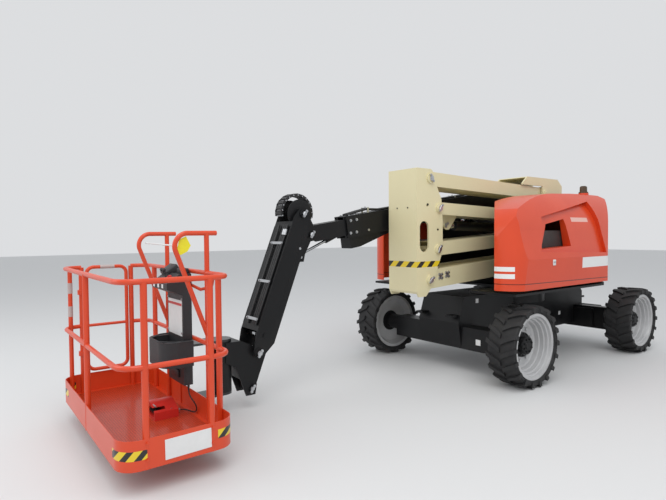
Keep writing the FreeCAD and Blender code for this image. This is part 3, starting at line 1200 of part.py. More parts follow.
def make_platform():
    """Floor, toe board, rails, posts and console guards."""
    deck = Piece("platform_frame")
    middle = "(deck_depth / 2 - deck_front)"
    edge = rounded_box("deck_depth / 2", "deck_width / 2", "deck_corner", middle)
    inner = rounded_box("(deck_depth / 2 - toe_thick)", "(deck_width / 2 - toe_thick)", "(deck_corner - toe_thick)",
                        middle)
    deck.pad("XY", [edge], "toe_height", "floor_z + toe_height / 2")
    deck.cut("XY", [inner], "2 * toe_height - 2 * floor_thick", "floor_z + toe_height")
    post = "(rail_top - floor_z)"
    for post_x, post_y in ((GATE_REAR, RAIL_Y), (GATE_FRONT, RAIL_Y), (GATE_REAR, "-" + RAIL_Y),
                           (GATE_FRONT, "-" + RAIL_Y), (RAIL_OUTER, "0"), (RAIL_INNER, "690"),
                           (RAIL_INNER, "-690")):
        deck.pad("XY", [("round", post_x, post_y, "post_radius")], post, "floor_z + %s / 2" % post)
    for level in ("rail_top", "rail_mid"):
        deck.tube("XY", rail_path(), level, "YZ", (RAIL_Y, level), GATE_REAR, "rail_radius")
    for guard_y in ("-(console_y + hoop_half)", "hoop_half - console_y"):
        back = RAIL_INNER
        crown = "(hoop_top - rail_radius)"
        path = [(back + " + hoop_tail", crown), (back + " - 150", crown, "95"), (back + " - 232", crown + " - 118"),
                (back, "rail_mid + 60")]
        deck.tube("XZ", path, guard_y, "YZ", (guard_y, crown), back + " + hoop_tail", "rail_radius")
        deck.pad("XY", [("round", back, guard_y, "rail_radius")], crown + " - floor_z", "(%s + floor_z) / 2" % crown)
    deck.pad("XZ", [box(INNER_X + " - 12", "floor_z", INNER_X, "rotor_top + seat_gap + bracket_plate")],
             "2 * rotor_radius + 40", "boom_y")
    for low in ("rotor_top + seat_gap", "rotor_bottom - seat_gap - bracket_plate"):
        deck.pad("XY", [[(INNER_X + " - 6", "boom_y - rotor_radius - 10"), (INNER_X + " + 60", "boom_y - rotor_radius - 10"),
                         ("-rotor_x", "boom_y - rotor_radius", "rotor_radius"),
                         ("rotor_radius - rotor_x", "boom_y", "rotor_radius"), ("-rotor_x", "boom_y + rotor_radius"),
                         (INNER_X + " + 60", "boom_y + rotor_radius + 10"), (INNER_X + " - 6", "boom_y + rotor_radius + 10")]],
                 "bracket_plate", low + " + bracket_plate / 2")
    return deck


keep(make_platform())


def make_gate():
    """Gate, measured from its hinge post: a tube frame on two rings round the post."""
    gate = Piece("gate")
    width = "(deck_depth - gate_rear - gate_front)"
    near = "(post_radius + side_gap + gate_tube)"
    far = "(%s - %s)" % (width, near)
    foot = "(floor_z + toe_height + 3 * side_gap + gate_tube)"
    head = "rail_top"
    bend = "60"
    path = [("(%s + %s) / 2" % (near, far), foot), ("%s - %s" % (far, bend), foot, bend), (far, "%s + %s" % (foot, bend)),
            (far, "%s - %s" % (head, bend), bend), ("%s - %s" % (far, bend), head), ("%s + %s" % (near, bend), head, bend),
            (near, "%s - %s" % (head, bend)), (near, "%s + %s" % (foot, bend), bend), ("%s + %s" % (near, bend), foot)]
    gate.tube("XZ", path, "0", "YZ", ("0", foot), "(%s + %s) / 2" % (near, far), "gate_tube", closed=True)
    gate.pad("YZ", [("round", "0", "rail_mid", "gate_tube - 3")], "%s - %s" % (far, near), "(%s + %s) / 2" % (near, far))
    for level in ("rail_mid - 240", "rail_mid + 300"):
        gate.pad("XY", [("round", "0", "0", "post_radius + 12")], "40", level)
        gate.pad("XY", [box("0", "-8", near, "8")], "40", level)
        gate.cut("XY", [("round", "0", "0", "post_radius + pin_gap")], "80", level)
    return gate


keep(make_gate(), number(GATE_FRONT), number(RAIL_Y), 0)


# Loose cable from the pedal to the console: its centre line, from the slew axis
CABLE_RADIUS = 5.0
CABLE_POINTS = (
    (-4570, -150, 222), (-4536, -150, 222), (-4504, -162, 212), (-4482, -190, 204), (-4471, -228, 206),
    (-4468, -261, 227), (-4475, -279, 263), (-4490, -272, 300), (-4508, -251, 333), (-4518, -234, 370),
    (-4518, -234, 410),
)


def make_console():
    """Platform console: upright case with a sloped panel on top and a tray in front."""
    console = Piece("console")
    back = "(%s - rail_radius - seat_gap)" % RAIL_INNER
    face = "(%s - 70)" % back
    console.pad("XZ", [[(back, "console_foot"), (back, "1285"), (face + " - 20", "1285"), (face + " - 120", "1215"),
                        (face + " - 120", "1170"), (face, "1120"), (face, "console_foot")]], "2 * console_half", "-console_y")
    console.pad("XY", [[(back + " - 10", "-console_y - console_half - 50"), (back + " - 10", "console_half + 50 - console_y"),
                        (face + " - 60", "console_half + 50 - console_y", "120"), (face + " - 170", "console_half - 70 - console_y"),
                        (face + " - 170", "70 - console_half - console_y", "120"),
                        (face + " - 60", "-console_y - console_half - 50")]], "190", "680")
    console.cut("XY", [box(face + " - 150", "-console_y - console_half + 10", face, "console_half - 10 - console_y")],
                "260", "790")
    gland_x, gland_y, gland_z = (str(value) for value in CABLE_POINTS[-1])
    console.pad("XY", [("round", gland_x, gland_y, "gland_radius")], "console_foot + 2 - " + gland_z,
                "(console_foot + 2 + %s) / 2" % gland_z)
    return console


keep(make_console())


def make_footswitch():
    """Guarded foot pedal on the floor."""
    foot = Piece("footswitch")
    foot.pad("YZ", [[("-150", "0"), ("130", "0"), ("130", "55"), ("60", "100", "120"), ("-60", "100"), ("-150", "60")]],
             "180")
    foot.cut("YZ", [box("-125", "20", "40", "85")], "110", "-55")
    gland_end, gland_y, gland_z = CABLE_POINTS[0]
    foot.pad("YZ", [("round", "%s - footswitch_y" % gland_y, "%s - %s" % (gland_z, FLOOR_TOP), "gland_radius")],
             "%s + footswitch_x - 88" % gland_end, "(%s + footswitch_x + 88) / 2" % gland_end)
    return foot


FLOOR_TOP = "(floor_z + floor_thick)"
keep(make_footswitch(), -number("footswitch_x"), number("footswitch_y"), number(FLOOR_TOP))


def make_cable():
    """Tube of straight runs joined by tangent arcs as large as the runs allow."""
    points = [Vector(*point) for point in CABLE_POINTS]
    edges = []
    last = points[0]
    for before, corner, after in zip(points, points[1:], points[2:]):
        inward = (before - corner).normalize()
        onward = (after - corner).normalize()
        half_turn = (math.pi - inward.getAngle(onward)) / 2
        cut = 0.45 * min((before - corner).Length, (after - corner).Length)
        radius = cut / math.tan(half_turn)
        print("cable bend radius %.0f" % radius)
        centre = corner + (inward + onward).normalize() * (radius / math.cos(half_turn))
        middle = centre + (corner - centre).normalize() * radius
        edges.append(Part.LineSegment(last, corner + inward * cut).toShape())
        edges.append(Part.Arc(corner + inward * cut, middle, corner + onward * cut).toShape())
        last = corner + onward * cut
    edges.append(Part.LineSegment(last, points[-1]).toShape())
    path = Part.Wire(edges)
    ring = Part.Wire([Part.Circle(points[0], points[1] - points[0], CABLE_RADIUS).toShape()])
    tube = path.makePipeShell([ring], True, False)
    print("cable length %.0f, volume over section times length %.4f"
          % (path.Length, tube.Volume / (math.pi * CABLE_RADIUS ** 2 * path.Length)))
    cable = DOC.addObject("Part::Feature", "footswitch_cable")
    cable.Label = "footswitch_cable"
    cable.Shape = tube
    return cable


keep(make_cable())


def check_and_write():
    """Stop if anything failed to build, then write every sub-part."""
    DOC.recompute()
    failed = [item.Label for item in DOC.Objects if "Invalid" in item.State or "Error" in item.State]
    for body in PIECES:
        if body.Shape.isNull() or not body.Shape.isValid():
            failed.append(body.Label)
    if failed:
        raise SystemExit("these did not build: " + ", ".join(sorted(set(failed))))
    os.makedirs("parts", exist_ok=True)
    for body in PIECES:
        body.Shape.exportStep("parts/%s.step" % body.Label)


check_and_write()
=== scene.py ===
"""Articulating boom lift on a plain studio floor: finishes for the frame's nodes, and the pieces added to them."""

import math

import bmesh
import bpy
from mathutils import Matrix, Vector


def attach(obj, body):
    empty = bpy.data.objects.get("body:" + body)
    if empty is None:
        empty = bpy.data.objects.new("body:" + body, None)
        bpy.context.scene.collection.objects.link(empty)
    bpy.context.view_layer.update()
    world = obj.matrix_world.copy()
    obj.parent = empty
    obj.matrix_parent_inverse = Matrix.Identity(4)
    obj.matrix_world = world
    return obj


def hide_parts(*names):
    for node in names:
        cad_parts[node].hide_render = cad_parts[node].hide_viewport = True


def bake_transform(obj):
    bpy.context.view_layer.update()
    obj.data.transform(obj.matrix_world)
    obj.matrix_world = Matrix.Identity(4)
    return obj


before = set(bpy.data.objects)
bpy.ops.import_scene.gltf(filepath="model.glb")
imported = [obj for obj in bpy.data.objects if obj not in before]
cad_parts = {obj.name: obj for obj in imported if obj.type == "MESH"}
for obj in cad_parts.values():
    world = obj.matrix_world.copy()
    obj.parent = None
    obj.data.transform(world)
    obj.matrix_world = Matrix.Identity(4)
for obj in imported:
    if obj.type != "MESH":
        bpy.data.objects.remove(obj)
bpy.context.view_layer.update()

SLEW_X = 1.765          # slew axis along the frame's X
AXLE_X = 1.25           # axles from the slew axis
TRACK_Y = 1.015         # wheel middles from the machine's middle
WHEEL_RADIUS = 0.42
BOOM_Y = 0.2            # middle of the main boom and jib
WHEEL_CORNERS = (
    # corner, along from the slew axis, side
    ("front_left", -AXLE_X, 1), ("front_right", -AXLE_X, -1),
    ("rear_left", AXLE_X, 1), ("rear_right", AXLE_X, -1),
)


def spot(along, across, height):
    """A place given from the slew axis, in the frame's own metres."""
    return Vector((along + SLEW_X, across, height))


# Shader sockets that ordinary arithmetic works on
class Wire:
    """One socket of a node tree; sums, products and comparisons on it add Math nodes."""

    def __init__(self, nodes, socket):
        self.nodes = nodes
        self.socket = socket

    def outputs(self, *names):
        """Wires from several outputs of the same node."""
        return [Wire(self.nodes, self.socket.node.outputs[name]) for name in names]

    def calculate(self, operation, first, second):
        return self.nodes.node("ShaderNodeMath", {"operation": operation}, {0: first, 1: second})

    def __add__(self, other):
        return self.calculate("ADD", self, other)

    __radd__ = __add__

    def __sub__(self, other):
        return self.calculate("SUBTRACT", self, other)

    def __rsub__(self, other):
        return self.calculate("SUBTRACT", other, self)

    def __mul__(self, other):
        return self.calculate("MULTIPLY", self, other)

    __rmul__ = __mul__

    def __gt__(self, other):
        return self.calculate("GREATER_THAN", self, other)

    def __lt__(self, other):
        return self.calculate("LESS_THAN", self, other)

    def __abs__(self):
        return self.calculate("ABSOLUTE", self, 0.0)

    def remainder(self, step):
        return self.calculate("FLOORED_MODULO", self, step)

    def greatest(self, other):
        return self.calculate("MAXIMUM", self, other)


class Nodes:
    """The node tree of a material or a world, and the one way to add a node to it."""

    def __init__(self, owner):
        owner.use_nodes = True
        self.tree = owner.node_tree
        self.tree.nodes.clear()

    def fill(self, socket, value):
        """Link a wire to a socket, or set it to a number or a colour."""
        if isinstance(value, Wire):
            self.tree.links.new(value.socket, socket)
        elif isinstance(value, tuple):
            socket.default_value = (*value, 1.0)
        else:
            socket.default_value = value

    def node(self, kind, settings, inputs, output=0):
        """A node of this kind with its settings, and its sockets set or linked; gives one of its outputs."""
        made = self.tree.nodes.new(kind)
        for setting, value in settings.items():
            setattr(made, setting, value)
        for socket, value in inputs.items():
            self.fill(made.inputs[socket], value)
        return Wire(self, made.outputs[output]) if made.outputs else None


# The Mix node's sockets for colours
MIX_SHARE, MIX_FIRST, MIX_SECOND, MIX_RESULT = 0, 6, 7, 2


class Finish(Nodes):
    """A material: its shader and short ways to fill it."""

    def __init__(self, name, **constants):
        self.material = bpy.data.materials.new(name)
        super().__init__(self.material)
        surface = self.node("ShaderNodeBsdfPrincipled", {}, {})
        self.shader = surface.socket.node
        self.node("ShaderNodeOutputMaterial", {}, {"Surface": surface})
        for socket, value in constants.items():
            self.feed(socket.replace("_", " "), value)
        self.place = self.node("ShaderNodeTexCoord", {}, {}, "Object")
        parts = self.node("ShaderNodeSeparateXYZ", {}, {0: self.place})
        self.along, self.across, self.height = parts.outputs(0, 1, 2)

    def feed(self, socket, value):
        """Link or set a socket of the shader."""
        self.fill(self.shader.inputs[socket], value)

    def noise(self, scale, detail=3.0, roughness=0.55):
        return self.node("ShaderNodeTexNoise", {}, {"Vector": self.place, "Scale": scale, "Detail": detail,
                                                    "Roughness": roughness})

    def ramp(self, value, low, high):
        """0 below low, 1 above high and even between."""
        return self.node("ShaderNodeMapRange", {"clamp": True}, {"Value": value, "From Min": low, "From Max": high})

    def mix(self, first, second, share):
        """Colour from first to second as share goes from 0 to 1."""
        return self.node("ShaderNodeMix", {"data_type": "RGBA"},
                         {MIX_SHARE: share, MIX_FIRST: first, MIX_SECOND: second}, MIX_RESULT)

    def within(self, value, low, high):
        """1 where the value lies between two levels."""
        return (value > low) * (value < high)

    def patch(self, low, high):
        """1 inside a block given by two corners from the slew axis."""
        inside = self.within(self.along, low[0] + SLEW_X, high[0] + SLEW_X)
        return inside * self.within(self.across, low[1], high[1]) * self.within(self.height, low[2], high[2])

    def relief(self, height, distance, strength):
        """Bump from a height, in metres."""
        self.feed("Normal", self.node("ShaderNodeBump", {}, {"Height": height, "Distance": distance,
                                                             "Strength": strength}))


def shade(colour, share):
    """The same colour, darker."""
    return tuple(share * part for part in colour)


DUST = (0.36, 0.33, 0.29)
YELLOW = (0.80, 0.58, 0.02)
BLACK = (0.012, 0.012, 0.013)
WHITE = (0.80, 0.80, 0.79)

BLACK_FROM = 0.54       # share of a stripe's pitch where the black begins
FLOOR_OPENINGS = ((-5.16, -0.87, 0.168), (-4.49, 0.87, 0.1975))
DIAMONDS_ALONG = 29.0   # openings of the platform's floor in a metre
DIAMONDS_ACROSS = 62.0
LEDGE_HEIGHT = 1.0585   # groove above the hood's lower edge
LEDGE_SLOPE = 0.0122


def stripes(finish, slope_along, slope_across, pitch):
    """Black and yellow slanting stripes."""
    run = finish.along * slope_along + finish.across * slope_across + finish.height
    return finish.mix(YELLOW, BLACK, run.remainder(pitch) > BLACK_FROM * pitch)


def mesh_floor(finish):
    """Expanded metal: 1 in the diamond openings of the platform's floor."""
    inside = finish.patch(*FLOOR_OPENINGS)
    rising = finish.along * DIAMONDS_ALONG + finish.across * DIAMONDS_ACROSS
    falling = finish.along * DIAMONDS_ALONG - finish.across * DIAMONDS_ACROSS
    first = abs(rising.remainder(1.0) - 0.5) < 0.33
    second = abs(falling.remainder(1.0) - 0.5) < 0.33
    return first * second * inside


def paint(name, colour, deep, dusty_below, marks=(), mesh=False, shaded_ledge=False):
    """Sprayed paint: slow changes of tone, orange peel, dull dust low down and a few scuffs; where asked, painted
    shade in the hood's ledge groove and in the diamond openings of the floor mesh.
    Each mark is (low corner, high corner, colour or "stripes", slopes and pitch)."""
    coat = 0.22
    finish = Finish(name, Coat_Roughness=0.12)
    clouds = finish.noise(2.3, 4.0)
    fine = finish.noise(210.0, 2.0)
    scuffs = finish.ramp(finish.noise(34.0, 6.0, 0.7), 0.66, 0.74)
    dust = finish.ramp(clouds + finish.height * -0.9, 0.62 - dusty_below, 1.05 - dusty_below) * 0.45
    tone = finish.mix(colour, deep, clouds)
    tone = finish.mix(tone, shade(colour, 0.55), scuffs * 0.22)
    for low, high, mark, facts in marks:
        inside = finish.patch(low, high)
        mark_colour = stripes(finish, *facts) if mark == "stripes" else mark
        tone = finish.mix(tone, mark_colour, inside)
    height = fine * 0.0001
    # painted shade: the ledge groove is sunk a little and painted in a dark copy of the paint, for the shade that
    # falls in it
    if shaded_ledge:
        shaded_groove = abs(finish.height - (LEDGE_HEIGHT - finish.along * LEDGE_SLOPE)) < 0.0045
        tone = finish.mix(tone, shade(colour, 0.22), shaded_groove)
        height = height - shaded_groove * 0.003
    tone = finish.mix(tone, DUST, dust)
    if mesh:
        # painted shade: the diamond openings get a dark copy of the paint for the shade seen through them, and are
        # sunk a little
        shaded_opening = mesh_floor(finish)
        tone = finish.mix(tone, shade(colour, 0.30), shaded_opening)
        height = height - shaded_opening * 0.003
    finish.feed("Base Color", tone)
    finish.feed("Roughness", 0.32 + 0.10 * clouds + 0.30 * dust + 0.18 * scuffs)
    finish.feed("Coat Weight", coat - coat * dust)
    finish.relief(height, 1.0, 0.8)
    return finish.material


def black_steel(name, sheen=0.36):
    """Semi-gloss black enamel on welded plate, greyed by dust low down."""
    finish = Finish(name, Coat_Roughness=0.2, Specular_IOR_Level=0.24)
    clouds = finish.noise(3.1, 5.0)
    fine = finish.noise(160.0, 2.0)
    chips = finish.ramp(finish.noise(48.0, 7.0, 0.72), 0.69, 0.75)
    dust = finish.ramp(clouds + finish.height * -0.35, 0.30, 0.72)
    tone = finish.mix((0.004, 0.0044, 0.005), (0.009, 0.009, 0.010), clouds)
    tone = finish.mix(tone, (0.08, 0.077, 0.072), dust * 0.22)
    tone = finish.mix(tone, (0.14, 0.13, 0.12), chips * 0.30)
    finish.feed("Base Color", tone)
    finish.feed("Roughness", sheen + 0.14 * clouds + 0.22 * dust)
    finish.feed("Coat Weight", 0.08 - 0.08 * dust)
    finish.relief(fine, 0.0003, 0.4)
    return finish.material


def cast_iron(name, tone_low, tone_high):
    """Painted casting with a grained skin."""
    finish = Finish(name)
    grain = finish.noise(120.0, 5.0)
    clouds = finish.noise(4.0, 4.0)
    finish.feed("Base Color", finish.mix(tone_low, tone_high, clouds))
    finish.feed("Roughness", 0.48 + 0.2 * grain)
    finish.relief(grain, 0.0012, 0.6)
    return finish.material


def rubber(name):
    """Tyre rubber: near black and dull, greyed in patches."""
    finish = Finish(name)
    clouds = finish.noise(9.0, 5.0)
    fine = finish.noise(190.0, 4.0)
    greyed = finish.ramp(clouds, 0.35, 0.75) * 0.35
    finish.feed("Base Color", finish.mix((0.012, 0.012, 0.013), (0.045, 0.043, 0.041), greyed))
    finish.feed("Roughness", 0.58 + 0.22 * clouds)
    finish.relief(fine, 0.0006, 0.5)
    return finish.material


def rim_paint(name):
    """Silver-white wheel enamel with brake dust and splashes."""
    finish = Finish(name, Coat_Weight=0.2, Coat_Roughness=0.2)
    clouds = finish.noise(7.0, 5.0)
    specks = finish.ramp(finish.noise(70.0, 5.0, 0.7), 0.60, 0.72)
    tone = finish.mix((0.60, 0.60, 0.60), (0.45, 0.45, 0.455), clouds)
    tone = finish.mix(tone, (0.16, 0.14, 0.12), specks * 0.30)
    finish.feed("Base Color", tone)
    finish.feed("Roughness", 0.34 + 0.2 * clouds + 0.2 * specks)
    finish.feed("Metallic", 0.25)
    finish.relief(finish.noise(180.0, 2.0), 0.0002, 0.3)
    return finish.material


def chrome(name, roughness=0.10):
    """Hard chrome or bright zinc with fine wipe marks."""
    finish = Finish(name, Metallic=1.0)
    wipes = finish.noise(60.0, 6.0, 0.7)
    finish.feed("Base Color", finish.mix((0.42, 0.43, 0.45), (0.62, 0.63, 0.64), wipes))
    finish.feed("Roughness", roughness + 0.16 * wipes)
    return finish.material


def moulded(name, colour, deep, roughness=0.45, grain=0.0004):
    """Moulded plastic or rubber with a fine grain."""
    finish = Finish(name)
    clouds = finish.noise(6.0, 4.0)
    fine = finish.noise(240.0, 3.0)
    finish.feed("Base Color", finish.mix(colour, deep, clouds))
    finish.feed("Roughness", roughness + 0.15 * clouds)
    finish.relief(fine, grain, 0.6)
    return finish.material


def label_film(name, colour):
    """Bare film for labels and plates, slightly mottled."""
    finish = Finish(name, Coat_Weight=0.15, Coat_Roughness=0.3)
    clouds = finish.noise(18.0, 4.0)
    finish.feed("Base Color", finish.mix(colour, shade(colour, 0.86), clouds))
    finish.feed("Roughness", 0.42 + 0.12 * clouds)
    return finish.material


ORANGE = (0.74, 0.066, 0.012)
ORANGE_DEEP = (0.62, 0.048, 0.009)
CREAM = (0.76, 0.69, 0.43)
CREAM_DEEP = (0.70, 0.63, 0.385)
UPRIGHT_MARKS = (
    ((-2.16, -0.40, 1.227), (-1.60, 0.08, 1.288), "stripes", (-1.0, 1.0, 0.155)),
)
PLATFORM_MARKS = (
    # the yellow and black bands round the platform's corners
    ((-5.25, -0.93, 0.236), (-5.04, -0.75, 0.294), "stripes", (-1.0, 0.6, 0.105)),
    ((-4.585, -0.93, 0.246), (-4.42, -0.80, 0.304), "stripes", (-1.0, 0.6, 0.105)),
    ((-5.25, 0.66, 0.240), (-5.10, 0.93, 0.296), "stripes", (-1.0, 0.6, 0.105)),
    # the flanges bolted to the turning post under the jib are black
    ((-4.435, 0.0, 0.10), (-3.90, 0.40, 0.70), (0.016, 0.016, 0.017), ()),
)
HOOD_MARKS = (
    # bare labels on the nose, bare plate at the tail and a pale strip by the window painted as a faint highlight
    ((-1.53, -1.030, 1.185), (-1.20, -0.820, 1.232), WHITE, ()),
    ((-1.53, -1.030, 1.112), (-1.20, -0.820, 1.160), WHITE, ()),
    ((-0.19, -1.110, 1.172), (0.46, -1.060, 1.292), WHITE, ()),
    # painted highlight: a pale pinkish strip of reflected light by the window
    ((-0.270, -1.110, 1.700), (0.110, -0.950, 1.750), (0.80, 0.45, 0.38), ()),
)

FINISHES = {
    "paint_orange": paint("gate_orange", ORANGE, ORANGE_DEEP, dusty_below=-0.1),
    "paint_cream": paint("arm_cream", CREAM, CREAM_DEEP, dusty_below=0.1),
    "paint_black": black_steel("chassis_black"),
    "weight_black": cast_iron("counterweight_black", (0.018, 0.018, 0.019), (0.032, 0.031, 0.030)),
    "engine_iron": cast_iron("engine_casting", (0.010, 0.010, 0.011), (0.07, 0.065, 0.06)),
    "tank_plastic": moulded("tank_black", (0.03, 0.03, 0.031), (0.05, 0.05, 0.05)),
    "control_grey": moulded("console_grey", (0.016, 0.017, 0.019), (0.030, 0.031, 0.034), 0.40),
    "rim_white": rim_paint("wheel_silver"),
    "tyre_rubber": rubber("tyre_black"),
    "rod_chrome": chrome("rod_chrome"),
    "pedal_red": paint("pedal_red", (0.62, 0.03, 0.02), (0.5, 0.02, 0.015), dusty_below=-1.0),
    "cable_rubber": moulded("cable_sheath", (0.012, 0.012, 0.012), (0.03, 0.03, 0.03), 0.5),
    "beacon_amber": moulded("beacon_dark", (0.05, 0.03, 0.02), (0.09, 0.05, 0.02), 0.2, 0.0001),
}
SPECIAL = {
    "front_upright": paint("upright_cream", CREAM, CREAM_DEEP, dusty_below=0.1, marks=UPRIGHT_MARKS),
    "platform_frame": paint("platform_orange", ORANGE, ORANGE_DEEP, dusty_below=-0.1, marks=PLATFORM_MARKS,
                            mesh=True),
    "hood_right": paint("hood_right_orange", ORANGE, ORANGE_DEEP, dusty_below=0.1, marks=HOOD_MARKS, shaded_ledge=True),
    "hood_left": paint("hood_left_orange", ORANGE, ORANGE_DEEP, dusty_below=0.1, shaded_ledge=True),
}


def dress_frame():
    """Give every carried-over node the finish of its slot."""
    for name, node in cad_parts.items():
        for slot in node.material_slots:
            key = slot.material.name.split(".")[0]
            slot.material = SPECIAL.get(name) or FINISHES[key]


dress_frame()
HUB_BLACK = black_steel("hub_black", 0.42)
ZINC = chrome("pin_zinc", 0.22)
HOSE = moulded("hose_black", (0.008, 0.008, 0.009), (0.018, 0.018, 0.019), 0.38)
BARE_WHITE = label_film("bare_label", WHITE)
BARE_PALE = label_film("bare_sleeve", (0.52, 0.42, 0.40))
TAG_YELLOW = label_film("tag_yellow", (0.88, 0.80, 0.02))
BUTTON_RED = moulded("button_red", (0.62, 0.02, 0.015), (0.5, 0.015, 0.01), 0.3)


# Ways to make a piece
OUT = {1: Vector((0, 1, 0)), -1: Vector((0, -1, 0))}   # out from the machine's left and right side
ARC_STEPS = 8           # parts of a bend


def finish_piece(name, mesh, material, body, smooth=35.0):
    """Make the mesh a piece of the object, riding on its body where it has one."""
    for face in mesh.polygons:
        face.use_smooth = True
    mesh.set_sharp_from_angle(angle=math.radians(smooth))
    mesh.materials.clear()
    mesh.materials.append(material)
    piece = bpy.data.objects.new(name, mesh)
    bpy.context.scene.collection.objects.link(piece)
    if body:
        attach(piece, body)
    return piece


def mesh_of(name, build):
    """A mesh from a function that fills a bmesh."""
    form = bmesh.new()
    build(form)
    mesh = bpy.data.meshes.new(name)
    form.to_mesh(mesh)
    form.free()
    return mesh


def shaped(name, build, material, body, smooth=35.0):
    """A piece from a function that fills a bmesh."""
    return finish_piece(name, mesh_of(name, build), material, body, smooth)


def spun(form, section, steps, centre=Vector(), closed=True):
    """Turn a section of (radius, reach) points about a line across the machine."""
    axis = OUT[1]
    side = axis.orthogonal().normalized()
    rim = [form.verts.new(centre + side * radius + axis * reach) for radius, reach in section]
    edges = [form.edges.new(pair) for pair in zip(rim, rim[1:] + rim[:1] if closed else rim[1:])]
    bmesh.ops.spin(form, geom=rim + edges, cent=centre, axis=axis, dvec=(0, 0, 0), angle=math.tau, steps=steps,
                   use_merge=True, use_duplicate=False)
    bmesh.ops.remove_doubles(form, verts=form.verts, dist=1e-6)
    bmesh.ops.recalc_face_normals(form, faces=form.faces)


def block(form, size, place, bevel=0.0, segments=1, turn=Matrix()):
    """A block of this size about a place, its edges eased, turned by a matrix."""
    matrix = Matrix.Translation(place) @ turn
    made = bmesh.ops.create_cube(form, size=1.0, matrix=matrix @ Matrix.Diagonal((*size, 1.0)))
    if bevel:
        edges = list(dict.fromkeys(edge for vert in made["verts"] for edge in vert.link_edges))
        bmesh.ops.bevel(form, geom=edges, offset=bevel, segments=segments, profile=0.5, affect="EDGES", material=-1)


def rod(form, start, end, radius, sides=16, tip=None):
    """A round bar from start to end, or a cone where a tip radius is given."""
    line = Vector(end) - Vector(start)
    turn = line.to_track_quat("Z", "Y").to_matrix().to_4x4()
    middle = Matrix.Translation((Vector(start) + Vector(end)) / 2)
    bmesh.ops.create_cone(form, cap_ends=True, segments=sides, radius1=radius, radius2=radius if tip is None else tip,
                          depth=line.length, matrix=middle @ turn)


def bolt(form, place, axis, width=0.022, height=0.012):
    """Hexagon head with its washer, standing on a face."""
    axis = Vector(axis)
    place = Vector(place)
    rod(form, place, place + axis * 0.003, width * 0.85, 20)
    rod(form, place + axis * 0.003, place + axis * (0.003 + height), width / 2 * 1.1547, 6)


def round_curve(name, radius, kind, points):
    """A curve of this thickness through or along its points."""
    curve = bpy.data.curves.new(name, "CURVE")
    curve.dimensions = "3D"
    curve.bevel_depth = radius
    curve.bevel_resolution = 6
    curve.use_fill_caps = True
    spline = curve.splines.new(kind)
    spline.points.add(len(points) - 1)
    for target, place in zip(spline.points, points):
        target.co = (*place, 1.0)
    return curve


def tube_mesh(points, radius, bend=0.0):
    """Round tube along straight runs, with each corner bent on an arc where a bend is given."""
    run = [points[0]]
    for before, corner, after in zip(points, points[1:], points[2:]):
        if not bend:
            run.append(corner)
            continue
        back = (before - corner).normalized()
        on = (after - corner).normalized()
        half = back.angle(on) / 2
        cut = bend / math.tan(half)
        centre = corner + (back + on).normalized() * (bend / math.sin(half))
        first = (corner + back * cut - centre).normalized()
        last = (corner + on * cut - centre).normalized()
        run += [centre + first.slerp(last, step / ARC_STEPS) * bend for step in range(ARC_STEPS + 1)]
    run.append(points[-1])
    curve = round_curve("tube", radius, "POLY", run)
    holder = bpy.data.objects.new("tube", curve)
    mesh = bpy.data.meshes.new_from_object(holder)
    bpy.data.objects.remove(holder)
    bpy.data.curves.remove(curve)
    return mesh


# Wheels
LUGS_A_SIDE = 18
LUG_WIDTH = 0.050
LUG_LENGTH = 0.160
LUG_SLANT = 0.086       # how far a lug's outer end runs ahead of its inner end
LUG_ROOT = 0.385        # radius inside the casing where a lug begins
SHOULDER_FROM = 0.78    # share of its length where a lug starts to fold over
TYRE_SECTION = ((0.321, 0.126), (0.3385, 0.1305), (0.347, 0.143), (0.360, 0.153), (0.374, 0.156), (0.386, 0.153),
                (0.394, 0.143), (0.3965, 0.10), (0.3975, 0.04))
RIM_SECTION = ((0.320, 0.126), (0.3375, 0.130), (0.3380, 0.1375), (0.331, 0.1385), (0.309, 0.134), (0.303, 0.106),
               (0.290, 0.101), (0.285, 0.070), (0.271, 0.065), (0.266, 0.026), (0.252, 0.020), (0.243, -0.020),
               (0.225, -0.031), (0.110, -0.031), (0.110, -0.045), (0.225, -0.045), (0.262, -0.060), (0.282, -0.095),
               (0.304, -0.136), (0.338, -0.138), (0.338, -0.130), (0.320, -0.126))
HUB_SECTION = ((0.0, 0.062), (0.040, 0.062), (0.044, 0.056), (0.084, 0.054), (0.095, 0.046), (0.098, 0.034),
               (0.098, 0.004), (0.128, -0.002), (0.130, -0.026), (0.130, -0.050), (0.098, -0.056), (0.098, -0.099),
               (0.0, -0.099))


def lug_mesh(side):
    """One lug at the tyre's foot: it curves round the tread, slants and folds over the shoulder."""
    def lug_form(form):
        bmesh.ops.create_cube(form, size=1.0, matrix=Matrix.Translation((0, 0.5, 0.5)))
        long_edges = [edge for edge in form.edges if abs((edge.verts[0].co - edge.verts[1].co).y) > 0.5]
        bmesh.ops.subdivide_edges(form, edges=long_edges, cuts=6)
        for vert in form.verts:
            width, reach, lift = vert.co
            shoulder = max(0.0, reach - SHOULDER_FROM) / (1.0 - SHOULDER_FROM)
            crest = WHEEL_RADIUS - 0.010 * shoulder - 0.003 * (1.0 - lift)
            root = LUG_ROOT - 0.030 * shoulder
            radius = root + (crest - root) * lift
            swing = (width * (LUG_WIDTH - 0.006 * lift) + LUG_SLANT * max(0.0, reach) ** 0.85) / WHEEL_RADIUS
            across = side * (0.004 + LUG_LENGTH * reach + 0.004 * shoulder * lift)
            vert.co = (radius * math.sin(swing), across, -radius * math.cos(swing))
        bmesh.ops.recalc_face_normals(form, faces=form.faces)

    return mesh_of("lug", lug_form)


def bolt_ring(form, count, radius, face, width, height, start=0.0):
    """Bolt heads evenly round the wheel's axle, standing on a face; start is a share of their pitch."""
    for index in range(count):
        angle = math.tau * (index + start) / count
        bolt(form, (radius * math.cos(angle), face, radius * math.sin(angle)), OUT[1], width, height)


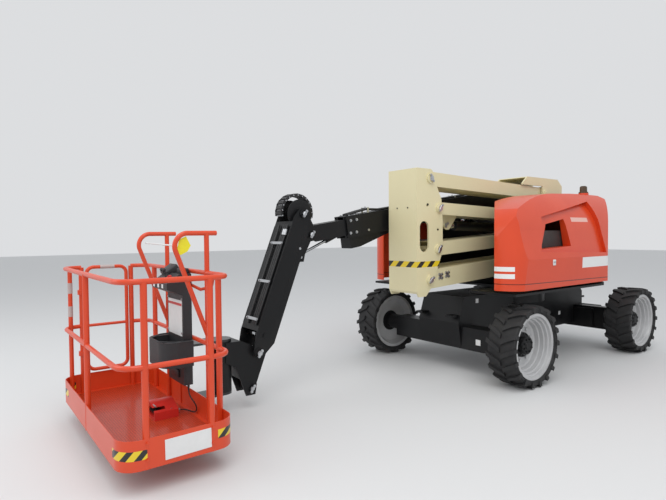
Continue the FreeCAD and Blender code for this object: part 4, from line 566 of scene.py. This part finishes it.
def tyre_form(form):
    section = list(TYRE_SECTION) + [(radius, -reach) for radius, reach in reversed(TYRE_SECTION)]
    spun(form, section, 96)
    # raised rings on both sidewalls
    for side in (1, -1):
        for radius, reach in ((0.352, 0.1475), (0.378, 0.1565)):
            spun(form, ((radius - 0.004, side * (reach - 0.003)), (radius - 0.001, side * (reach + 0.003)),
                        (radius + 0.003, side * (reach + 0.002)), (radius + 0.004, side * (reach - 0.004))), 72)
    step = math.tau / LUGS_A_SIDE
    for side in (1, -1):
        lug = lug_mesh(side)
        lug.transform(Matrix.Rotation(step / 2 * (side < 0), 4, "Y"))
        for _ in range(LUGS_A_SIDE):
            lug.transform(Matrix.Rotation(step, 4, "Y"))
            form.from_mesh(lug)
        bpy.data.meshes.remove(lug)


def rim_form(form):
    spun(form, RIM_SECTION, 72)
    bolt_ring(form, 9, 0.170, -0.031, 0.030, 0.016)
    # valve stem
    rod(form, (0.0, 0.020, 0.262), (0.0, 0.056, 0.250), 0.005, 10)


def hub_form(form):
    spun(form, HUB_SECTION, 48, closed=False)
    bolt_ring(form, 8, 0.066, 0.054, 0.016, 0.009, 0.5)
    bolt_ring(form, 12, 0.114, -0.001, 0.013, 0.007)


def make_wheels():
    for corner, along, side in WHEEL_CORNERS:
        body = "wheel_" + corner
        matrix = Matrix.Translation(spot(along, side * TRACK_Y, WHEEL_RADIUS))
        if side < 0:
            matrix = matrix @ Matrix.Rotation(math.pi, 4, "Z")
        for name, build, material, slot in (("tyre_lugs_", tyre_form, FINISHES["tyre_rubber"], "tyre_rubber"),
                                            ("rim_steps_", rim_form, FINISHES["rim_white"], "rim_white"),
                                            ("hub_bolts_", hub_form, HUB_BLACK, "paint_black")):
            piece = shaped(name + corner, build, material, body, 30.0)
            piece.data.transform(matrix)
            if name == "tyre_lugs_":
                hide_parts("tyre_" + corner)
            if name == "rim_steps_":
                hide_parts("rim_" + corner)


make_wheels()

# Pins, keepers and bolts
TOWER_FACE = -0.3945    # outer face of the tower's pin discs
JIB_PIN = (-3.2537, 1.7765)
TOWER_PINS = (
    # along, height, keeper's slope in degrees
    (-1.946, 1.0915, 42), (-1.816, 1.4135, 60), (-1.800, 1.848, 55), (-1.940, 2.155, -58),
)
BOOM_PINS = (
    # body, along, across, height, radius
    ("jib_knuckle", JIB_PIN[0], 0.030, JIB_PIN[1], 0.022), ("jib_knuckle", -3.1297, 0.088, 1.5775, 0.022),
    ("jib_boom", -3.303, 0.045, 1.445, 0.012), ("jib_knuckle", -3.261, 0.092, 1.358, 0.013),
    ("platform_support", -3.752, 0.030, 0.511, 0.024), ("platform_support", -3.800, 0.090, 0.187, 0.020),
    ("boom_outer", -2.388, 0.100, 1.622, 0.012),
)


def keeper(form, along, across, height, slope, side, length=0.095):
    """Flat bar across a pin's end with a bolt near each end."""
    out = OUT[side]
    middle = spot(along, across, height)
    turn = Matrix.Rotation(-math.radians(slope), 4, "Y")
    block(form, (length, 0.007, 0.024), middle + out * 0.0035, 0.0015, turn=turn)
    for share in (-0.36, 0.36):
        bolt(form, middle + out * 0.007 + turn @ Vector((share * length, 0, 0)), out, 0.017, 0.008)


def make_pins():
    def tower_form(form):
        for along, height, slope in TOWER_PINS:
            keeper(form, along, TOWER_FACE, height, slope, -1)
            rod(form, spot(along, -0.390, height), spot(along, -0.3975, height), 0.030, 24)

    def arm_form(form):
        for along, height in ((-1.747, 1.118), (-1.640, 1.132)):
            for step in range(4):
                angle = math.radians(45 + 90 * step)
                place = spot(along + 0.028 * math.cos(angle), -0.3395, height + 0.028 * math.sin(angle))
                bolt(form, place, OUT[-1], 0.020, 0.012)
            rod(form, spot(along, -0.338, height), spot(along, -0.346, height), 0.014, 20)

    def lug_form(form):
        rod(form, spot(-1.519, -0.217, 1.674), spot(-1.519, -0.229, 1.674), 0.020, 20)
        keeper(form, -1.519, -0.229, 1.674, 50, -1, 0.06)

    def plug_form(form):
        for along, height, radius in ((-1.978, 1.881, 0.011), (-1.823, 1.619, 0.008)):
            rod(form, spot(along, -0.366, height), spot(along, -0.374, height), radius, 16)
        for across in (-0.085, -0.240):
            rod(form, spot(-2.136, across, 1.848), spot(-2.1435, across, 1.848), 0.008, 16)

    shaped("tower_pin_keepers", tower_form, ZINC, "front_upright")
    shaped("lower_arm_bolts", arm_form, ZINC, "lower_arm")
    shaped("cylinder_lug_keeper", lug_form, ZINC, "upper_link")
    shaped("upright_plugs", plug_form, HUB_BLACK, "front_upright")
    for body in sorted({pin[0] for pin in BOOM_PINS}):
        def boom_form(form):
            for owner, along, across, height, radius in BOOM_PINS:
                if owner != body:
                    continue
                for side in (-1, 1):
                    face = across if side < 0 else 2 * BOOM_Y - across
                    start = spot(along, face - side * 0.002, height)
                    rod(form, start, start + OUT[side] * 0.013, radius, 24)
                    if radius > 0.015:
                        keeper(form, along, face + side * 0.011, height, 56, side, 0.075)

        shaped(body + "_pin_ends", boom_form, ZINC, body)


make_pins()


# Hoses
def hose_piece(name, runs, radius, body, bend):
    """Several round hoses as one piece."""
    def hose_form(form):
        for run in runs:
            tube = tube_mesh(run, radius, bend)
            form.from_mesh(tube)
            bpy.data.meshes.remove(tube)

    return finish_piece(name, mesh_of(name, hose_form), HOSE, body, 60.0)


def boom_top(along):
    """Height of the main boom's upper face."""
    return 1.788 + 0.1495 * (along + 2.5)


JIB_DOWN = Vector((-0.366, 0.0, -0.9305))
JIB_FRONT = Vector((-0.9305, 0.0, 0.366))
JIB_FACE = 0.085        # front face of the jib from the line between its pins


def on_jib(reach, across, off):
    """A place down the jib from its upper pin, off its front face."""
    return spot(*(Vector((JIB_PIN[0], across, JIB_PIN[1])) + JIB_DOWN * reach + JIB_FRONT * (JIB_FACE + off)))


def make_hoses():
    def on_boom(along, across, off):
        return spot(along, across, boom_top(along) + off)

    hose_piece("boom_top_hoses", [
        [on_boom(along, across, off)
         for along, off in ((-2.655, 0.014), (-2.50, 0.030), (-2.38, 0.040), (-2.20, 0.014), (-0.75, 0.014))]
        for across in (0.135, 0.165, 0.195)], 0.0115, "boom_outer", 0.08)

    def clamp_form(form):
        slope = Matrix.Rotation(-0.148, 4, "Y")
        for along, lift in ((-2.38, 0.054), (-1.95, 0.027), (-1.45, 0.027), (-0.95, 0.027)):
            block(form, (0.030, 0.100, 0.004), on_boom(along, 0.165, lift), 0.001, turn=slope)
            for across in (0.117, 0.213):
                block(form, (0.024, 0.006, lift + 0.008), on_boom(along, across, lift / 2))
            bolt(form, on_boom(along, 0.165, lift), (0, 0, 1), 0.016, 0.010)

    shaped("boom_hose_clamps", clamp_form, ZINC, "boom_outer")

    hose_piece("jib_front_hoses", [
        [on_jib(reach, across, off) for reach, off in ((0.155, 0.018), (0.24, 0.013), (1.13, 0.013))]
        for across in (0.09, 0.12, 0.15, 0.24)], 0.0105, "jib_boom", 0.05)

    def jib_clamp_form(form):
        tilt = Matrix.Rotation(math.atan2(JIB_DOWN.x, JIB_DOWN.z), 4, "Y")
        for reach in (0.34, 0.72, 1.08):
            block(form, (0.004, 0.190, 0.026), on_jib(reach, 0.165, 0.026), 0.001, turn=tilt)
            for across in (0.074, 0.256):
                bolt(form, on_jib(reach, across, 0.027), JIB_FRONT, 0.015, 0.008)
        for across in (0.09, 0.12):
            rod(form, on_jib(0.20, across, 0.016), on_jib(0.255, across, 0.013), 0.0155, 16)

    shaped("jib_hose_clamps", jib_clamp_form, ZINC, "jib_boom")


make_hoses()

CARRIER_MIDDLE = (-3.258, 1.790)
CARRIER_RADIUS = 0.171
CARRIER_LINKS = 12


def make_hose_carrier():
    """Chain of links that leads the hoses over the jib's upper pin."""
    def place_at(angle, radius, across):
        along, height = CARRIER_MIDDLE
        return spot(along + radius * math.cos(angle), across, height + radius * math.sin(angle))

    first, last = math.radians(190), math.radians(-16)
    step = (last - first) / CARRIER_LINKS

    def link_form(form):
        for index in range(CARRIER_LINKS):
            angle = first + step * (index + 0.5)
            turn = Matrix.Rotation(-angle, 4, "Y")
            slim = 0.0 if index % 2 else 0.004
            for across in (0.150, 0.250):
                block(form, (0.028, 0.006, 0.056), place_at(angle, CARRIER_RADIUS, across + slim), 0.002, 2, turn)
            for off in (0.011, -0.011):
                block(form, (0.005, 0.100, 0.030), place_at(angle, CARRIER_RADIUS + off, BOOM_Y), 0.001, turn=turn)

    def rivet_form(form):
        for index in range(CARRIER_LINKS + 1):
            angle = first + step * index
            rod(form, place_at(angle, CARRIER_RADIUS, 0.142), place_at(angle, CARRIER_RADIUS, 0.260), 0.0065, 12)

    links = shaped("hose_carrier_links", link_form, HOSE, None)
    rivets = shaped("hose_carrier_rivets", rivet_form, ZINC, None)
    runs = [[place_at(first + step * index / 2, CARRIER_RADIUS, across) for index in range(2 * CARRIER_LINKS + 1)]
            for across in (0.166, 0.183, 0.200, 0.217, 0.234)]
    hoses = hose_piece("hose_carrier_hoses", runs, 0.0078, None, 0.0)

    def guide_form(form):
        section = ((0.030, -0.006), (0.132, -0.006), (0.140, -0.002), (0.140, 0.002), (0.132, 0.006), (0.030, 0.006))
        for across in (0.111, 0.289):
            spun(form, section, 48, spot(JIB_PIN[0], across, JIB_PIN[1]))

    shaped("hose_guide", guide_form, HUB_BLACK, "jib_knuckle")
    for piece in (links, rivets, hoses):
        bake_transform(piece)


make_hose_carrier()


# Platform fittings
TOE_FACE = 0.9155       # outer face of the toe board from the machine's middle
CORNER_POST = (-5.138, 0.853)
HANDLE_X = -4.468


def make_platform_fittings():
    def plate_form(form):
        lean = Matrix.Rotation(math.radians(-1.0), 4, "Y")
        block(form, (0.302, 0.004, 0.126), spot(-4.782, -TOE_FACE - 0.001, 0.264), 0.0012, turn=lean)

    def sleeve_form(form):
        for height in (1.130, 0.930):
            rod(form, spot(*CORNER_POST, height - 0.045), spot(*CORNER_POST, height + 0.045), 0.0192, 24)

    def tag_form(form):
        corners = ((-4.619, 1.570), (-4.585, 1.504), (-4.609, 1.463), (-4.661, 1.437), (-4.687, 1.470),
                   (-4.668, 1.548))
        face = form.faces.new([form.verts.new(spot(along, -0.4960, height)) for along, height in corners])
        grown = bmesh.ops.extrude_face_region(form, geom=[face])["geom"]
        moved = [part for part in grown if isinstance(part, bmesh.types.BMVert)]
        bmesh.ops.translate(form, verts=moved, vec=(0, 0.002, 0))
        bmesh.ops.recalc_face_normals(form, faces=form.faces)

    def bar_form(form):
        rod(form, spot(-4.699, -0.5, 1.505), spot(-4.645, 0.34, 1.515), 0.0055, 12)

    shaped("toe_board_plate", plate_form, BARE_WHITE, "platform")
    shaped("post_sleeves", sleeve_form, BARE_PALE, "platform")
    shaped("guard_tag", tag_form, TAG_YELLOW, "platform")
    shaped("guard_cross_wire", bar_form, BARE_WHITE, "platform")

    handle = tube_mesh([spot(HANDLE_X, across, height) for across, height in (
        (-0.135, 1.300), (-0.175, 1.195), (-0.38, 1.172), (-0.575, 1.205), (-0.615, 1.300))], 0.0125, 0.05)
    finish_piece("rail_handhold", handle, FINISHES["paint_orange"], "platform", 60.0)
    post = tube_mesh([spot(*CORNER_POST, 0.185), spot(*CORNER_POST, 1.300)], 0.018)
    finish_piece("corner_post", post, FINISHES["paint_orange"], "platform", 60.0)

    def bolt_form(form):
        for along, side in ((-4.62, 1), (-5.04, 1), (-4.62, -1), (-5.04, -1)):
            for height in (0.230, 0.330):
                bolt(form, spot(along, side * TOE_FACE, height), OUT[side], 0.015, 0.008)

    shaped("post_bolts", bolt_form, FINISHES["paint_orange"], "platform")

    def wrap_form(form):
        rod(form, spot(-4.885, 0.897, 1.302), spot(-4.765, 0.897, 1.302), 0.0172, 24)

    shaped("gate_bar_wrap", wrap_form, BARE_PALE, "gate")


PANEL_TOP = (-4.576, 1.285)     # upper edge of the console's sloping panel
PANEL_FALL = (0.10, 0.07)       # from there to its lower edge, along and down
PANEL_OUT = Vector((-0.573, 0.0, 0.819))
TOGGLES = (0.055, 0.02, -0.015, -0.05)
TOGGLE_SHARE = 0.86             # how far down the panel each control sits
LEVER_SHARE = 0.45
STOP_SHARE = 0.55


def make_console_fittings():
    slope = Matrix.Rotation(-math.atan2(PANEL_FALL[1], PANEL_FALL[0]), 4, "Y")

    def on_panel(share, across, off=0.0):
        along, height = (edge - fall * share for edge, fall in zip(PANEL_TOP, PANEL_FALL))
        return spot(along, across, height) + PANEL_OUT * off

    def sheet_form(form):
        block(form, (0.004, 0.292, 0.275), spot(-4.5570, -0.080, 0.942), 0.001)
        for across in (0.045, -0.055, -0.150):
            block(form, (0.004, 0.034, 0.030), spot(-4.6770, across, 1.192), 0.001)
        facet = Matrix.Rotation(math.radians(-42.5), 4, "Z")
        block(form, (0.004, 0.115, 0.070), spot(-4.6735, 0.0785, 0.675), 0.001, turn=facet)

    def strip_form(form):
        block(form, (0.005, 0.288, 0.020), spot(-4.5575, -0.080, 1.046), 0.001)
        rod(form, on_panel(STOP_SHARE, -0.205), on_panel(STOP_SHARE, -0.205, 0.018), 0.012, 20)
        rod(form, on_panel(STOP_SHARE, -0.205, 0.018), on_panel(STOP_SHARE, -0.205, 0.030), 0.021, 24, 0.018)

    def box_form(form):
        block(form, (0.110, 0.145, 0.060), spot(-4.560, 0.010, 1.300), 0.010, 3, slope)
        block(form, (0.070, 0.080, 0.046), spot(-4.530, -0.185, 1.302), 0.008, 3)
        for across in (-0.105, -0.155):
            rod(form, on_panel(LEVER_SHARE, across), on_panel(LEVER_SHARE, across, 0.030), 0.020, 20, 0.010)
            rod(form, on_panel(LEVER_SHARE, across, 0.028), on_panel(LEVER_SHARE, across, 0.072), 0.0055, 12)
            bmesh.ops.create_uvsphere(form, u_segments=16, v_segments=10, radius=0.014,
                                      matrix=Matrix.Translation(on_panel(LEVER_SHARE, across, 0.078)))
        for across in TOGGLES:
            rod(form, on_panel(TOGGLE_SHARE, across), on_panel(TOGGLE_SHARE, across, 0.010), 0.0075, 6)
        block(form, (0.022, 0.150, 0.060), spot(-4.560, -0.080, 0.505), 0.004, 2)

    def toggle_form(form):
        for across in TOGGLES:
            rod(form, on_panel(TOGGLE_SHARE, across, 0.009), on_panel(TOGGLE_SHARE, across, 0.026), 0.003, 10, 0.0042)
        for across in (-0.226, 0.066):
            for height in (0.83, 1.09):
                bolt(form, spot(-4.5562, across, height), (-1, 0, 0), 0.012, 0.005)
        rod(form, spot(-4.535, -0.165, 1.322), spot(-4.535, -0.165, 1.342), 0.013, 20)

    lip = tube_mesh([spot(along, across, 0.775) for along, across in (
        (-4.500, -0.290), (-4.612, -0.290), (-4.721, -0.172), (-4.721, 0.012), (-4.612, 0.130), (-4.500, 0.130))],
        0.0075, 0.045)
    finish_piece("tray_lip", lip, FINISHES["control_grey"], "platform", 60.0)
    shaped("console_bare_plates", sheet_form, BARE_WHITE, "platform")
    shaped("console_red_parts", strip_form, BUTTON_RED, "platform")
    shaped("console_levers", box_form, FINISHES["control_grey"], "platform")
    shaped("console_toggles", toggle_form, ZINC, "platform")

    def pedal_form(form):
        tilt = Matrix.Rotation(math.radians(8), 4, "Y")
        block(form, (0.100, 0.150, 0.008), spot(-4.708, -0.102, 0.232), 0.002, 2, tilt)
        for step in range(6):
            place = spot(-4.748 + 0.016 * step, -0.102, 0.2425 - 0.0022 * step)
            block(form, (0.006, 0.140, 0.004), place, 0.001, turn=tilt)

    def gland_form(form):
        rod(form, spot(-4.574, -0.150, 0.222), spot(-4.560, -0.150, 0.222), 0.0145, 6)
        for across in (-0.190, 0.052):
            bolt(form, spot(-4.640, across, 0.254), (0, 0, 1), 0.014, 0.007)
        rod(form, spot(-4.752, -0.180, 0.292), spot(-4.752, 0.010, 0.292), 0.006, 12)

    shaped("pedal_tread", pedal_form, HUB_BLACK, "platform")
    shaped("pedal_gland", gland_form, ZINC, "platform")


make_platform_fittings()
make_console_fittings()


# Hood and chassis fittings
CHASSIS_SIDE = -0.3015


def make_body_fittings():
    def latch_form(form):
        block(form, (0.056, 0.006, 0.062), spot(-0.800, -1.0975, 1.257), 0.002, 2)

    def latch_handle_form(form):
        block(form, (0.034, 0.010, 0.016), spot(-0.800, -1.1035, 1.262), 0.003, 2)

    def label_form(form):
        block(form, (0.004, 0.062, 0.062), spot(-1.3565, -0.533, 0.375), 0.001)
        for along, height in ((-1.068, 0.790), (0.748, 0.470)):
            block(form, (0.050, 0.004, 0.050), spot(along, CHASSIS_SIDE, height), 0.001)

    shaped("hood_latch_plate", latch_form, BARE_WHITE, "hood_right")
    shaped("hood_latch_handle", latch_handle_form, ZINC, "hood_right")
    shaped("chassis_bare_labels", label_form, BARE_WHITE, "chassis")


make_body_fittings()


def make_welds():
    """Weld seams and wear-pad bolts of the boom and jib."""
    def jib_form(form):
        for across in (0.0475, 0.3525):
            rod(form, on_jib(0.158, across, -0.002), on_jib(1.135, across, -0.002), 0.0055, 10)
            for reach in (0.17, 0.62):
                rod(form, on_jib(reach, across, -0.150), on_jib(reach + 0.32, across, -0.150), 0.0045, 8)

    def boom_form(form):
        for across in (0.1025, 0.2975):
            for ends, down in (((-2.62, 0.30), 0.003), ((-2.20, 0.10), 0.229)):
                rod(form, *(spot(along, across, boom_top(along) - down) for along in ends), 0.005, 10)

    def pad_form(form):
        for face, side in ((0.1, -1), (0.3, 1)):
            for along in (-2.63, -2.55):
                for down in (0.05, 0.18):
                    bolt(form, spot(along, face, boom_top(along) - down), OUT[side], 0.018, 0.009)
        for across in (0.13, 0.27):
            for along in (-2.63, -2.56):
                bolt(form, spot(along, across, boom_top(along)), (0, 0, 1), 0.018, 0.009)

    shaped("jib_weld_seams", jib_form, HUB_BLACK, "jib_boom")
    shaped("boom_weld_seams", boom_form, HUB_BLACK, "boom_outer")
    shaped("boom_pad_bolts", pad_form, ZINC, "boom_outer")


GROUND_FACE = 1.0645    # outer face of the ground controls
GROUND_STOP = (0.200, 1.015)


def make_ground_panel():
    """Switches, key and stop button of the ground controls."""
    def plate_form(form):
        block(form, (0.250, 0.004, 0.150), spot(0.075, 1.0660, 1.370), 0.002)

    def switch_form(form):
        for height, lean in ((1.225, -0.010), (1.150, 0.0), (1.075, 0.010)):
            for column in range(4):
                place = spot(-0.030 + 0.068 * column, GROUND_FACE, height)
                collar = place + OUT[1] * 0.006
                rod(form, place, collar, 0.011, 6)
                rod(form, collar, place + OUT[1] * 0.024 + Vector((0, 0, lean)), 0.0035, 10, 0.005)
        rod(form, spot(-0.060, GROUND_FACE, 1.010), spot(-0.060, 1.0740, 1.010), 0.014, 20)

    def stop_form(form):
        along, height = GROUND_STOP
        rod(form, spot(along, GROUND_FACE, height), spot(along, 1.0790, height), 0.014, 20)
        rod(form, spot(along, 1.0790, height), spot(along, 1.0920, height), 0.024, 24, 0.020)

    shaped("ground_bare_plate", plate_form, BARE_WHITE, "turntable")
    shaped("ground_switches", switch_form, ZINC, "turntable")
    shaped("ground_stop_button", stop_form, BUTTON_RED, "turntable")


make_welds()
make_ground_panel()

# Loose cable of the foot pedal
CABLE_ROUTE = ((-4.570, -0.150, 0.222), (-4.536, -0.150, 0.222), (-4.504, -0.162, 0.212), (-4.482, -0.190, 0.204),
               (-4.471, -0.228, 0.206), (-4.468, -0.261, 0.227), (-4.475, -0.279, 0.263), (-4.490, -0.272, 0.300),
               (-4.508, -0.251, 0.333), (-4.518, -0.234, 0.370), (-4.518, -0.234, 0.410))


def make_cable():
    route = [spot(*place) for place in CABLE_ROUTE]
    curve = round_curve("pedal_cable", 0.005, "NURBS", route)
    spline = curve.splines[0]
    spline.order_u = 3
    spline.use_endpoint_u = True
    spline.resolution_u = 12
    curve.resolution_u = 12
    curve.materials.append(FINISHES["cable_rubber"])
    cable = bpy.data.objects.new("pedal_cable", curve)
    bpy.context.scene.collection.objects.link(cable)
    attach(cable, "platform")
    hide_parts("footswitch_cable")

    def relief_form(form):
        ahead, up = Vector((1, 0, 0)), Vector((0, 0, 1))
        rod(form, route[0] - ahead * 0.012, route[0] + ahead * 0.020, 0.0095, 16, 0.0058)
        rod(form, route[-1] + up * 0.014, route[-1] - up * 0.020, 0.0095, 16, 0.0058)

    relief = shaped("cable_strain_relief", relief_form, FINISHES["cable_rubber"], "platform")


make_cable()


# Studio
SKY_LIGHT = (0.93, 0.96, 1.0)
SKY_STRENGTH = 0.70
BACKDROP = (0.72, 0.73, 0.745)
FLOOR_HALF = 45.0
LIGHT_PANELS = (
    # name, place, aim, width, power
    ("sky_panel", (-4.0, -5.5, 9.5), (0.3, 0.0, 0.8), 9.0, 640.0),
    ("side_panel", (-9.0, 3.0, 5.5), (-2.0, 0.0, 1.0), 6.0, 170.0),
)


def make_studio():
    floor_finish = Finish("studio_floor")
    floor_finish.feed("Base Color", (0.70, 0.70, 0.695))
    floor_finish.feed("Roughness", 0.75)

    def floor_form(form):
        bmesh.ops.create_grid(form, x_segments=1, y_segments=1, size=FLOOR_HALF)

    mesh = mesh_of("studio_floor", floor_form)
    mesh.materials.append(floor_finish.material)
    floor = bpy.data.objects.new("studio_floor", mesh)
    bpy.context.scene.collection.objects.link(floor)

    # the backdrop shows straight on and in metal and glass; elsewhere the sky only gives light
    world = bpy.data.worlds.new("studio")
    bpy.context.scene.world = world
    sky = Nodes(world)
    rays = sky.node("ShaderNodeLightPath", {}, {})
    straight, glossy, through = rays.outputs("Is Camera Ray", "Is Glossy Ray", "Is Transmission Ray")
    light = sky.node("ShaderNodeBackground", {}, {"Color": SKY_LIGHT, "Strength": SKY_STRENGTH})
    seen = sky.node("ShaderNodeBackground", {}, {"Color": BACKDROP, "Strength": 1.0})
    both = sky.node("ShaderNodeMixShader", {}, {0: straight.greatest(glossy).greatest(through), 1: light, 2: seen})
    sky.node("ShaderNodeOutputWorld", {}, {"Surface": both})

    for name, place, aim, width, power in LIGHT_PANELS:
        lamp = bpy.data.lights.new(name, "AREA")
        lamp.size = width
        lamp.energy = power
        holder = bpy.data.objects.new(name, lamp)
        holder.location = place
        holder.rotation_euler = (Vector(aim) - Vector(place)).to_track_quat("-Z", "Y").to_euler()
        bpy.context.scene.collection.objects.link(holder)


CAMERA_PLACE = (-4.191, -3.992, 1.572)
CAMERA_YAW = 52.92
CAMERA_PITCH = -1.714
CAMERA_ROLL = -0.468
CAMERA_LENS = 27.414


def make_camera():
    camera = bpy.data.objects.new("camera", bpy.data.cameras.new("camera"))
    camera.data.lens = CAMERA_LENS
    camera.data.sensor_width = 36.0
    camera.data.sensor_fit = "HORIZONTAL"
    camera.data.clip_end = 300.0
    yaw, pitch, roll = (math.radians(a) for a in (CAMERA_YAW, CAMERA_PITCH, CAMERA_ROLL))
    ahead = Vector((math.cos(pitch) * math.cos(yaw), math.cos(pitch) * math.sin(yaw), math.sin(pitch)))
    level = Vector((math.sin(yaw), -math.cos(yaw), 0.0))
    upright = level.cross(ahead)
    right = level * math.cos(roll) + upright * math.sin(roll)
    up = upright * math.cos(roll) - level * math.sin(roll)
    turn = Matrix((right, up, -ahead)).transposed().to_4x4()
    camera.matrix_world = Matrix.Translation(CAMERA_PLACE) @ turn
    bpy.context.scene.collection.objects.link(camera)
    bpy.context.scene.camera = camera


make_studio()
make_camera()
bpy.context.scene.view_settings.view_transform = "Standard"
